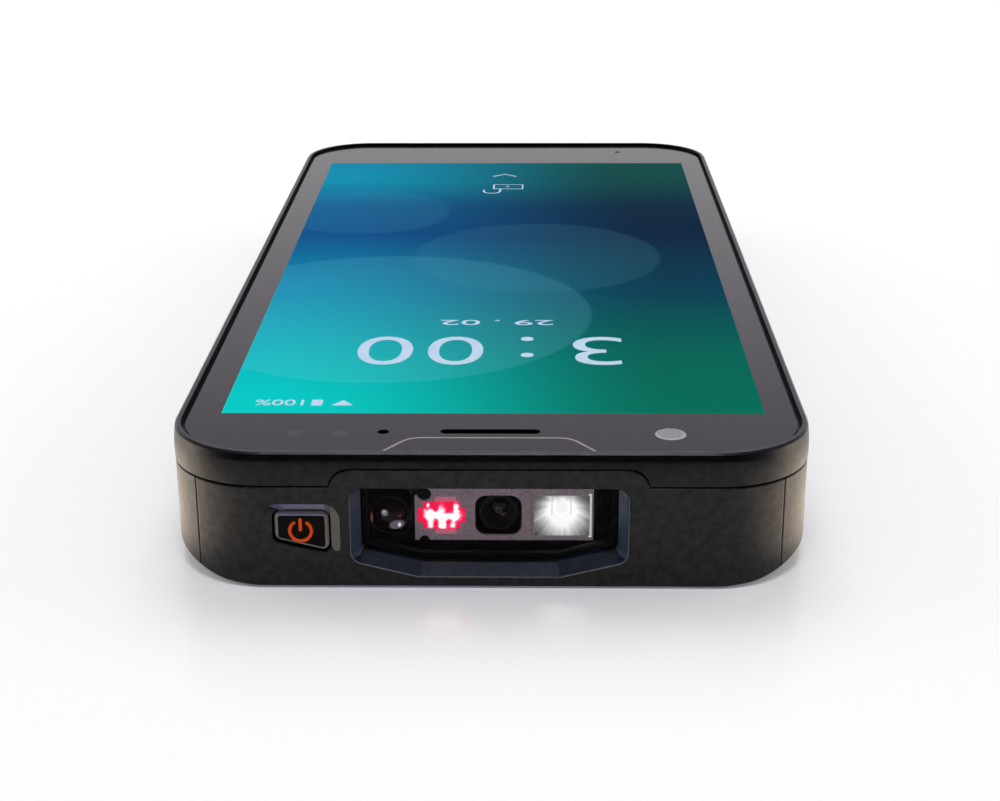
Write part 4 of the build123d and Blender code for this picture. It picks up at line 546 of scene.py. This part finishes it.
# CAD nodes and their finishes
nodeFinishes = {
    "housing": ["rear_housing", "battery_case", "battery_lid"],
    "nose": ["nose_cap"],
    "bezel": ["bezel_ring"],
    "powerKey": ["power_button"],
    "key": ["left_scan_key", "right_scan_key", "volume_up_key", "volume_down_key", "function_key"],
    "silicone": ["housing_gasket", "window_seal", "glass_adhesive"],
    "engineBlack": ["engine_body", "spot_barrel"],
    "pocket": ["camera_barrel"],
    "moulding": ["battery_connector", "loudspeaker", "light_sensors", "microphones", "rear_camera",
                 "display_module"],
    "latch": ["battery_latch"],
    "ribbon": ["display_flex", "engine_flex"],
    "ferrite": ["nfc_antenna"],
    "frosted": ["flash_lens"],
    "indicator": ["indicator_lens"],
    "tinnedSteel": ["engine_bracket", "shield_cans", "usb_socket", "vibration_motor", "earpiece_receiver",
                    "tact_switches"],
    "blackScrew": ["housing_screws", "small_screws"],
    "goldPad": ["cradle_contacts", "battery_pads"],
    "magnesium": ["chassis_plate"],
    "mesh": ["speaker_mesh", "earpiece_mesh"],
    "pouch": ["battery_cell"],
    "tungsten": ["vibration_weight"],
    "coverGlass": ["cover_glass"],
    "windowSheet": ["scan_window"],
    "cameraDome": ["camera_lens"],
    "spotDome": ["spot_lens"],
    "cameraWindow": ["rear_camera_window"],
    "board": ["main_board", "end_board", "key_boards", "power_board", "decode_board", "battery_board"],
    "facePlate": ["engine_face_plate"],
    "aimer": ["aimer_lens"],
    "funnel": ["light_reflector"],
    "whiteDiode": ["light_led"],
    "redDiode": ["aimer_leds"],
}
for key, names in nodeFinishes.items():
    for name in names:
        nodes[name].data.materials.clear()
        nodes[name].data.materials.append(finishes[key])
print("nodes dressed:", sum(len(names) for names in nodeFinishes.values()))


# the lit screen
screenSettings = {
    "left": -33.85, "right": 34.19, "near": -68.8, "far": 67.03, "height": 17.17, "thickness": 0.01,
    "leftColours": [(0.0, "#00d0cc"), (0.16, "#00bcc4"), (0.36, "#008fb4"), (0.6, "#00508e"),
                    (0.76, "#005e94"),
                    (0.9, "#0092b4"), (1.0, "#008cb0")],
    "rightColours": [(0.0, "#00705a"), (0.2, "#006458"), (0.38, "#003f55"), (0.6, "#00203e"),
                     (0.76, "#002640"),
                     (0.9, "#004446"), (1.0, "#004c48")],
    # faint discs: middle, radius and strength
    "discs": [((-16, -28), 30, 0.09), ((6, 2), 20, 0.045), ((-24, 30), 15, 0.04)],
}


def screenGlow(settings):
    # liquid crystal panel, lit: its own colours only, no gloss of its own under the glass
    material, tree, shader = newMaterial("lit display", {
        "Base Color": "#000000", "Roughness": 0.9, "Specular IOR Level": 0.0})
    place = addNode(tree, "ShaderNodeTexCoord").outputs["Object"]
    warp = addNode(tree, "ShaderNodeTexNoise", {"Scale": 1000 / 71.43, "Detail": 1.0}, {"Vector": place})
    parts = addNode(tree, "ShaderNodeSeparateXYZ", None, {"Vector": place})
    drift = addNode(tree, "ShaderNodeMath", {"operation": "MULTIPLY_ADD", 1: mm(16), 2: mm(-8)}, {0: warp})
    alongY = addNode(tree, "ShaderNodeMath", {"operation": "ADD"}, {0: parts.outputs["Y"], 1: drift})
    alongX = addNode(tree, "ShaderNodeMath", {"operation": "ADD"}, {0: parts.outputs["X"], 1: drift})
    down = addNode(tree, "ShaderNodeMapRange", {
        "From Min": mm(settings["near"]), "From Max": mm(settings["far"])}, {"Value": alongY})
    across = addNode(tree, "ShaderNodeMapRange", {
        "From Min": mm(settings["left"]), "From Max": mm(settings["right"] - 8),
        "interpolation_type": "SMOOTHSTEP"},
                     {"Value": alongX})
    sides = [addNode(tree, "ShaderNodeValToRGB", {"stops": settings[side]}, {"Fac": down})
             for side in ("leftColours", "rightColours")]
    colour = addNode(tree, "ShaderNodeMixRGB", None, {"Fac": across, "Color1": sides[0], "Color2": sides[1]})
    for (x, y), radius, strength in settings["discs"]:
        inside = addNode(tree, "ShaderNodeMapRange", {
            "From Min": radius, "From Max": radius - 0.4, "To Max": strength},
                         {"Value": awayFrom(tree, (x, y, settings["height"]), (1, 1, 1))})
        colour = addNode(tree, "ShaderNodeMixRGB", {"Color2": "#6ccfe0"}, {"Fac": inside, "Color1": colour})
    surface = addNode(tree, "ShaderNodeNewGeometry")
    facing = addNode(tree, "ShaderNodeSeparateXYZ", None, {"Vector": surface.outputs["Normal"]})
    upward = addNode(tree, "ShaderNodeMath", {"operation": "GREATER_THAN", 1: 0.5}, {0: facing.outputs["Z"]})
    link(tree, shader, {"Emission Color": colour, "Emission Strength": upward})
    return material


finishes["screen"] = screenGlow(screenSettings)


def makeScreen(settings):
    clearSelection()
    bpy.ops.mesh.primitive_grid_add(x_subdivisions=8, y_subdivisions=16, size=1)
    piece = bpy.context.object
    width, length = settings["right"] - settings["left"], settings["far"] - settings["near"]
    piece.scale = (mm(width), mm(length), 1)
    piece.location = (mm((settings["left"] + settings["right"]) / 2),
                      mm((settings["near"] + settings["far"]) / 2),
                      mm(settings["height"]))
    applyPlacing()
    thicken(piece, settings["thickness"])
    return finishPiece(piece, "screenPicture", finishes["screen"], "body")


makeScreen(screenSettings)

# black print round the screen
borderSettings = {
    "width": 75.6, "length": 163.5, "corner": 10.6, "cornerSteps": 14, "height": 17.17, "thickness": 0.01,
    # middle and size of each hole in the print: earpiece, near microphone, indicator, far microphone
    "holes": [((0, -74.9), (12.2, 1.5)), ((-13.05, -75.05), (1.44, 1.44)), ((21.9, -75.65), (3.86, 3.86)),
              ((22.2, 76.55), (1.0, 1.0))],
    "sensors": [(-23.8, -75.5), (-18.3, -75.5)],
}


def blackPrint(settings):
    # gloss ink on the glass's underside, seen as the glass's own gloss: near black with a faint mauve cast,
    # thinner over the two sensors
    material, tree, shader = newMaterial("gloss black print", {
        "IOR": 1.5, "Roughness": 0.12, "Specular Tint": "#ffeff9"})
    colour = mottled(tree, 40, 3.0, [(0.3, "#1a171b"), (0.7, "#201d21")])
    for x, y in settings["sensors"]:
        inside = addNode(tree, "ShaderNodeMapRange", {"From Min": 1.2, "From Max": 0.8},
                         {"Value": awayFrom(tree, (x, y, settings["height"]), (1, 1, 1))})
        colour = addNode(tree, "ShaderNodeMixRGB", {"Color2": "#302c33"}, {"Fac": inside, "Color1": colour})
    link(tree, shader, {"Base Color": colour})
    return material


finishes["print"] = blackPrint(borderSettings)


def cutAway(piece, cutters):
    for cutter in cutters:
        addModifier(piece, "BOOLEAN", operation="DIFFERENCE", solver="EXACT", object=cutter)
        bpy.data.objects.remove(cutter)


def slotCutter(middle, size, corner):  # a tall block with rounded upright edges
    clearSelection()
    bpy.ops.mesh.primitive_cube_add(size=1, location=(mm(middle[0]), mm(middle[1]),
                                                      mm(borderSettings["height"])))
    piece = bpy.context.object
    bpy.ops.transform.resize(value=(mm(size[0]), mm(size[1]), mm(1)))
    applyPlacing()
    if corner:
        bpy.ops.object.mode_set(mode="EDIT")
        bpy.ops.mesh.select_mode(type="EDGE")
        mesh = bmesh.from_edit_mesh(piece.data)
        for edge in mesh.edges:
            edge.select_set(abs(edge.verts[0].co.z - edge.verts[1].co.z) > mm(0.5))
        bmesh.update_edit_mesh(piece.data)
        bpy.ops.mesh.bevel(offset=mm(corner), segments=8)
        bpy.ops.mesh.select_mode(type="VERT")
        bpy.ops.object.mode_set(mode="OBJECT")
    return piece


def makeBorder(settings, screen):
    clearSelection()
    bpy.ops.mesh.primitive_plane_add(size=1, location=(0, 0, mm(settings["height"])))
    piece = bpy.context.object
    bpy.ops.transform.resize(value=(mm(settings["width"]), mm(settings["length"]), 1))
    applyPlacing()
    roundCorners(settings["corner"], settings["cornerSteps"])
    thicken(piece, settings["thickness"])
    cutters = [slotCutter(((screen["left"] + screen["right"]) / 2, (screen["near"] + screen["far"]) / 2),
                          (screen["right"] - screen["left"], screen["far"] - screen["near"]), 0)]
    for middle, size in settings["holes"]:
        cutters.append(slotCutter(middle, size, size[1] / 2 - 0.001))
    cutAway(piece, cutters)
    return finishPiece(piece, "screenBorderPrint", finishes["print"], "body")


makeBorder(borderSettings, screenSettings)
print("screen and border made")


# what the screen shows
def screenInk():
    # the panel's own pale marks, so light only
    material, tree, shader = newMaterial("lit display marks", {
        "Base Color": "#000000", "Roughness": 0.9, "Specular IOR Level": 0.0, "Emission Strength": 1.0})
    link(tree, shader, {"Emission Color": mottled(tree, 3.3333, 2.0, [(0.3, "#bcd6ee"), (0.7, "#c8def2")])})
    return material


finishes["marks"] = screenInk()
markHeight, markThickness = screenSettings["height"] + 0.01, 0.008


def writeNumbers(name, words, middle, width, height, weight):  # numbers that read from the far end
    clearSelection()
    bpy.ops.object.text_add()
    piece = bpy.context.object
    piece.data.body = words
    piece.data.align_x = "CENTER"
    piece.data.align_y = "CENTER"
    piece.data.offset = weight
    bpy.ops.object.convert(target="MESH")
    piece = bpy.context.object
    corners = [Vector(c) for c in piece.bound_box]
    low = Vector([min(c[i] for c in corners) for i in range(3)])
    high = Vector([max(c[i] for c in corners) for i in range(3)])
    centre = (low + high) / 2
    fit = Matrix.Diagonal((mm(width) / (high.x - low.x), mm(height) / (high.y - low.y), 1, 1))
    turn = Matrix.Rotation(math.pi, 4, "Z")
    piece.matrix_world = (Matrix.Translation((mm(middle[0]), mm(middle[1]), mm(markHeight))) @ turn @ fit
                          @ Matrix.Translation(-centre))
    applyPlacing()
    thicken(piece, markThickness)
    return finishPiece(piece, name, finishes["marks"], "body")


# the words, their middle, width and height in millimetres, and how much their strokes are thickened
marks = {
    "clockHours": ("3", (14.15, -44.7), 6.8, 11.7, -0.006),
    "clockTens": ("0", (-5.4, -44.7), 7.6, 11.7, -0.006),
    "clockUnits": ("0", (-15.07, -44.7), 7.6, 11.7, -0.006),
    "dayNumber": ("29 . 02", (0.1, -32.4), 16.2, 2.3, 0.004),
    "chargeNumber": ("100%", (-27.02, -65.03), 6.17, 2.0, 0.004),
}
for name, (words, middle, width, height, weight) in marks.items():
    writeNumbers(name, words, middle, width, height, weight)


def flatMark(name, kind, middle, size, corner=0.0):  # a small filled shape on the screen
    clearSelection()
    bpy.ops.mesh.primitive_circle_add(vertices=kind, radius=0.5, fill_type="NGON")
    piece = bpy.context.object
    if kind == 4:
        piece.rotation_euler.z = math.pi / 4
        bpy.ops.object.transform_apply(rotation=True)
        bpy.ops.transform.resize(value=(math.sqrt(2), math.sqrt(2), 1))
    piece.scale = (piece.scale.x * mm(size[0]), piece.scale.y * mm(size[1]), 1)
    piece.location = (mm(middle[0]), mm(middle[1]), mm(markHeight))
    applyPlacing()
    if corner:
        roundCorners(corner, 4)
    thicken(piece, markThickness)
    return finishPiece(piece, name, finishes["marks"], "body")


flatMark("clockDotNear", 24, (4.44, -46.55), (1.8, 1.8))
flatMark("clockDotFar", 24, (4.44, -39.75), (1.8, 1.8))
flatMark("chargeMark", 4, (-22.23, -65.05), (1.4, 2.1), 0.25)
flatMark("signalMark", 3, (-18.92, -65.4), (3.15, 2.5))


def drawLine(points, stroke, thickness, flat):  # a drawn line through points, pressed flat along one axis
    clearSelection()
    bpy.ops.mesh.primitive_plane_add(size=1, location=[mm(v) for v in points[0]])
    piece = bpy.context.object
    editAll()
    bpy.ops.mesh.merge(type="CENTER")
    bpy.ops.mesh.select_all(action="SELECT")
    for before, after in zip(points, points[1:]):
        step = [mm(b - a) for a, b in zip(before, after)]
        bpy.ops.mesh.extrude_vertices_move(TRANSFORM_OT_translate={"value": step})
    bpy.ops.object.mode_set(mode="OBJECT")
    bpy.ops.object.convert(target="CURVE")
    piece = bpy.context.object
    piece.data.dimensions = "3D"
    piece.data.bevel_depth = mm(stroke) / 2
    piece.data.bevel_resolution = 4
    piece.data.use_fill_caps = True
    bpy.ops.object.convert(target="MESH")
    scale = [1, 1, 1]
    scale[flat] = thickness / stroke
    applyPlacing()
    editAll()
    bpy.ops.transform.resize(value=scale, center_override=[mm(v) for v in points[0]])
    bpy.ops.mesh.normals_make_consistent(inside=False)
    bpy.ops.object.mode_set(mode="OBJECT")
    return bpy.context.object


def joinPieces(pieces):
    pick(pieces[0])
    for piece in pieces[1:]:
        piece.select_set(True)
    bpy.ops.object.join()
    return pieces[0]


def arcPoints(centre, radius, start, end, count, height, upright=False):
    points = []
    for i in range(count + 1):
        angle = math.radians(start + (end - start) * i / count)
        a, b = centre[0] + radius * math.cos(angle), centre[1] + radius * math.sin(angle)
        points.append((a, height, b) if upright else (a, b, height))
    return points


lockSettings = {
    "left": -1.9, "right": 3.4, "near": 46.4, "far": 49.6,
    "bowMiddle": -2.2, "bowHalf": 1.5, "bowNear": 44.6, "bowFar": 45.6,
    "keyhole": (0.65, 48.1), "keyholeHalf": 0.25, "keyholeStroke": 0.6, "stroke": 0.36,
}


def makeLock(settings):  # an open padlock in outline, its bow to one side of its near end
    left, right, near, far = settings["left"], settings["right"], settings["near"], settings["far"]
    corners = [(left, near), (right, near), (right, far), (left, far), (left, near)]
    body = drawLine([(x, y, markHeight) for x, y in corners], settings["stroke"], markThickness, 2)
    middle, half = settings["bowMiddle"], settings["bowHalf"]
    arch = arcPoints((middle, settings["bowNear"]), half, 0, -180, 14, markHeight)
    bow = drawLine([(middle + half, near, markHeight)] + arch + [(middle - half, settings["bowFar"],
                                                                  markHeight)],
                   settings["stroke"], markThickness, 2)
    x, y = settings["keyhole"]
    keyhole = drawLine([(x - settings["keyholeHalf"], y, markHeight),
                        (x + settings["keyholeHalf"], y, markHeight)],
                       settings["keyholeStroke"], markThickness, 2)
    return finishPiece(joinPieces([body, bow, keyhole]), "lockMark", finishes["marks"], "body")


makeLock(lockSettings)
chevron = drawLine([(-2.2, 56.0, markHeight), (0.0, 57.8, markHeight), (2.2, 56.0, markHeight)], 0.42,
                   markThickness, 2)
finishPiece(chevron, "openChevron", finishes["marks"], "body")
print("screen marks made")

# line on the near border
noseLineSettings = {"topHalf": 9.7, "topY": -76.95, "footHalf": 12.6, "footY": -81.15, "stroke": 0.34,
                    "height": 17.18,
                    "rounding": 1.6}


def greyInk():
    # silver-grey screen print with a little sparkle of its metal pigment
    material, tree, shader = newMaterial("silver grey print", {"Roughness": 0.35, "Metallic": 0.4})
    link(tree, shader, {"Base Color": mottled(tree, 0.25, 2.0, [(0.3, "#8c8084"), (0.7, "#a5999d")])})
    return material


finishes["greyInk"] = greyInk()


def makeNoseLine(settings):
    top, foot, height = settings["topHalf"], settings["footHalf"], settings["height"]
    slope = Vector((foot - top, settings["footY"] - settings["topY"])).normalized() * settings["rounding"]
    joint = [Vector((top - settings["rounding"], settings["topY"])), Vector((top, settings["topY"])),
             Vector((top, settings["topY"])) + slope]
    bend = []
    for i in range(9):  # a quadratic curve from the level stretch into the sloping one
        t = i / 8
        bend.append(joint[0] * (1 - t) ** 2 + joint[1] * 2 * t * (1 - t) + joint[2] * t ** 2)
    right = [(p.x, p.y, height) for p in bend] + [(foot, settings["footY"], height)]
    left = [(-x, y, z) for x, y, z in reversed(right)]
    line = drawLine(left + right, settings["stroke"], 0.01, 2)
    return finishPiece(line, "noseLine", finishes["greyInk"], "body")


makeNoseLine(noseLineSettings)

# mark on the power button
powerSettings = {"middle": (-22.55, 7.74), "face": -83.5, "radius": 1.305, "stroke": 0.43, "gap": 37,
                 "thickness": 0.05,
                 "barTop": 1.45, "barFoot": 0.15}


def makePowerMark(settings):  # an open ring and a bar, printed on the button
    x, z = settings["middle"]
    start, end = 90 + settings["gap"], 450 - settings["gap"]
    ring = arcPoints((x, z), settings["radius"], start, end, 40, settings["face"], upright=True)
    pieces = [drawLine(ring, settings["stroke"], settings["thickness"], 1)]
    bar = [(x, settings["face"], z + settings["barFoot"]), (x, settings["face"], z + settings["barTop"])]
    pieces.append(drawLine(bar, settings["stroke"], settings["thickness"], 1))
    for end in (ring[0], ring[-1], bar[0], bar[1]):
        clearSelection()
        bpy.ops.mesh.primitive_uv_sphere_add(segments=16, ring_count=8, radius=mm(settings["stroke"]) / 2,
                                             location=[mm(v) for v in end])
        bpy.ops.transform.resize(value=(1, settings["thickness"] / settings["stroke"], 1))
        pieces.append(bpy.context.object)
    return finishPiece(joinPieces(pieces), "powerMark", finishes["orangeInk"], "power_button")


makePowerMark(powerSettings)
print("printed marks made")


# floor, light and surroundings
def makeFloor(settings):
    clearSelection()
    bpy.ops.mesh.primitive_plane_add(size=6, location=(0, 0, -mm(settings["gap"])))
    floor = bpy.context.object
    floor.name = "studioFloor"
    # polished white laminate; the camera sees it a little paler than it lights
    material, tree, shader = newMaterial("pale laminate floor", {"Roughness": 0.07, "IOR": 1.5})
    tone = mottled(tree, 333.33, 2.0, [(0.3, "#f4f4f4"), (0.7, "#f7f7f7")])
    place = addNode(tree, "ShaderNodeTexCoord").outputs["Object"]
    path = addNode(tree, "ShaderNodeLightPath")
    # glossy surfaces alone see a warm card, a glow painted on the floor to each side of the near end that
    # stands in for side light, and the floor painted darker between the two
    parts = addNode(tree, "ShaderNodeSeparateXYZ", None, {"Vector": place})
    aside = addNode(tree, "ShaderNodeMath", {"operation": "ABSOLUTE"}, {0: parts.outputs["X"]})
    sides = addNode(tree, "ShaderNodeMapRange", {
        "From Min": mm(settings["cardStart"]), "From Max": mm(settings["cardFull"])}, {"Value": aside})
    along = addNode(tree, "ShaderNodeMapRange", {
        "From Min": mm(settings["cardNear"]), "From Max": mm(settings["cardFar"])},
                    {"Value": parts.outputs["Y"]})
    glow = addNode(tree, "ShaderNodeValToRGB", {
        "stops": [(at, (level, level, level, 1)) for at, level in settings["cardLevels"]]}, {"Fac": along})
    card = addNode(tree, "ShaderNodeMath", {"operation": "MULTIPLY"}, {0: sides, 1: glow})
    mirrored = addNode(tree, "ShaderNodeMath", {"operation": "MULTIPLY"},
                       {0: card, 1: path.outputs["Is Glossy Ray"]})
    mirrored = addNode(tree, "ShaderNodeMath", {"operation": "MULTIPLY", 1: settings["cardGlow"]},
                       {0: mirrored})
    lift = addNode(tree, "ShaderNodeMath", {"operation": "MULTIPLY_ADD", 1: settings["lift"]},
                   {0: path.outputs["Is Camera Ray"], 2: mirrored})
    between = addNode(tree, "ShaderNodeMath", {"operation": "SUBTRACT", "use_clamp": True},
                      {0: path.outputs["Is Glossy Ray"], 1: sides})
    shaded = addNode(tree, "ShaderNodeMixRGB", {"Color2": settings["between"]},
                     {"Fac": between, "Color1": tone})
    warmth = addNode(tree, "ShaderNodeMixRGB", {"Color1": "#ffffff", "Color2": settings["cardColour"]},
                     {"Fac": path.outputs["Is Glossy Ray"]})
    link(tree, shader, {"Base Color": shaded, "Emission Color": warmth, "Emission Strength": lift})
    # a view from below passes through the floor, and so does its light
    surface = addNode(tree, "ShaderNodeNewGeometry")
    below = addNode(tree, "ShaderNodeMath", {"operation": "MULTIPLY"},
                    {0: path.outputs["Is Camera Ray"], 1: surface.outputs["Backfacing"]})
    passed = addNode(tree, "ShaderNodeMath", {"operation": "ADD", "use_clamp": True},
                     {0: below, 1: path.outputs["Transparent Depth"]})
    opening = addNode(tree, "ShaderNodeBsdfTransparent")
    seen = addNode(tree, "ShaderNodeMixShader", None, {"Fac": passed, 1: shader, 2: opening})
    link(tree, tree.nodes["Material Output"], {"Surface": seen})
    floor.data.materials.append(material)


floorSettings = {
    "gap": 0.02,                     # under the terminal, millimetres
    "lift": 0.13,                    # glow that only the camera sees
    "cardStart": 40, "cardFull": 48, "cardNear": -112, "cardFar": 0,
    "cardGlow": 2.35, "cardColour": "#ffe4c6",
    "cardLevels": [(0.05, 0), (0.34, 1), (0.47, 0.85), (0.6, 0.25), (0.75, 0)],
    "between": "#e6e6e6",
}
makeFloor(floorSettings)

# places and sizes in metres, power in watts; only the mirrored lamps show in glossy surfaces
lampSettings = {
    "backLamp": {"place": (0.0, 0.45, 0.7), "size": 0.5, "power": 2.5, "colour": (1.0, 1.0, 1.0),
                 "mirrored": True},
    "overheadLamp": {"place": (0.0, -0.28, 0.6), "size": 0.2, "power": 1.1, "colour": (0.88, 0.9, 1.0),
                     "mirrored": True},
    "leftLamp": {"place": (-0.45, 0.1, 0.16), "size": 0.35, "power": 0.6, "colour": (1.0, 0.92, 0.82),
                 "mirrored": False},
    "rightLamp": {"place": (0.45, 0.1, 0.16), "size": 0.35, "power": 0.6, "colour": (1.0, 0.92, 0.82),
                  "mirrored": False},
}
for name, settings in lampSettings.items():
    clearSelection()
    place = Vector(settings["place"])
    bpy.ops.object.light_add(type="AREA", location=place)
    lamp = bpy.context.object
    lamp.name = name
    lamp.data.name = name
    lamp.rotation_euler = place.to_track_quat("Z", "Y").to_euler()
    lamp.data.size = settings["size"]
    lamp.data.energy = settings["power"]
    lamp.data.color = settings["colour"]
    lamp.visible_glossy = settings["mirrored"]

worldSettings = {
    "ambient": 0.42,
    # what glossy surfaces see, by the sine of the height above the horizon, with a dark room in front
    "reflected": [(0.0, "#ffffff"), (0.20, "#f2f2f4"), (0.36, "#bcbac2"), (0.6, "#7c7c84"), (1.0, "#4a4c56")],
    "darkRoom": "#101014",
    "underneath": "#a8a8ac",
}


def makeWorld(settings):
    world = bpy.data.worlds.new("softStudio")
    bpy.context.scene.world = world
    world.use_nodes = True
    tree = world.node_tree
    tree.nodes.clear()
    sky = addNode(tree, "ShaderNodeTexCoord")
    parts = addNode(tree, "ShaderNodeSeparateXYZ", None, {"Vector": sky.outputs["Generated"]})
    ramp = addNode(tree, "ShaderNodeValToRGB", {"stops": settings["reflected"]}, {"Fac": parts.outputs["Z"]})
    behind = addNode(tree, "ShaderNodeMapRange", {"From Min": -0.35, "From Max": 0.15},
                     {"Value": parts.outputs["Y"]})
    around = addNode(tree, "ShaderNodeMixRGB", {"Color1": settings["darkRoom"]},
                     {"Fac": behind, "Color2": ramp})
    # below the horizon, which only a view from below reaches, the light is even
    under = addNode(tree, "ShaderNodeMath", {"operation": "LESS_THAN", 1: 0.0}, {0: parts.outputs["Z"]})
    around = addNode(tree, "ShaderNodeMixRGB", {"Color2": settings["underneath"]},
                     {"Fac": under, "Color1": around})
    level = addNode(tree, "ShaderNodeMapRange", {"To Min": settings["ambient"]}, {"Value": under})
    path = addNode(tree, "ShaderNodeLightPath")
    ambient = addNode(tree, "ShaderNodeBackground", {"Color": "#ffffff"}, {"Strength": level})
    mirrored = addNode(tree, "ShaderNodeBackground", None, {"Color": around})
    white = addNode(tree, "ShaderNodeBackground", {"Color": "#ffffff"})
    glossy = addNode(tree, "ShaderNodeMixShader", None, {
        "Fac": path.outputs["Is Glossy Ray"], 1: ambient, 2: mirrored})
    seen = addNode(tree, "ShaderNodeMath", {"operation": "MAXIMUM"}, {
        0: path.outputs["Is Camera Ray"], 1: path.outputs["Is Transmission Ray"]})
    last = addNode(tree, "ShaderNodeMixShader", None, {"Fac": seen, 1: glossy, 2: white})
    addNode(tree, "ShaderNodeOutputWorld", None, {"Surface": last})


makeWorld(worldSettings)
bpy.context.scene.view_settings.view_transform = "Standard"
print("floor, lamps and surroundings made")
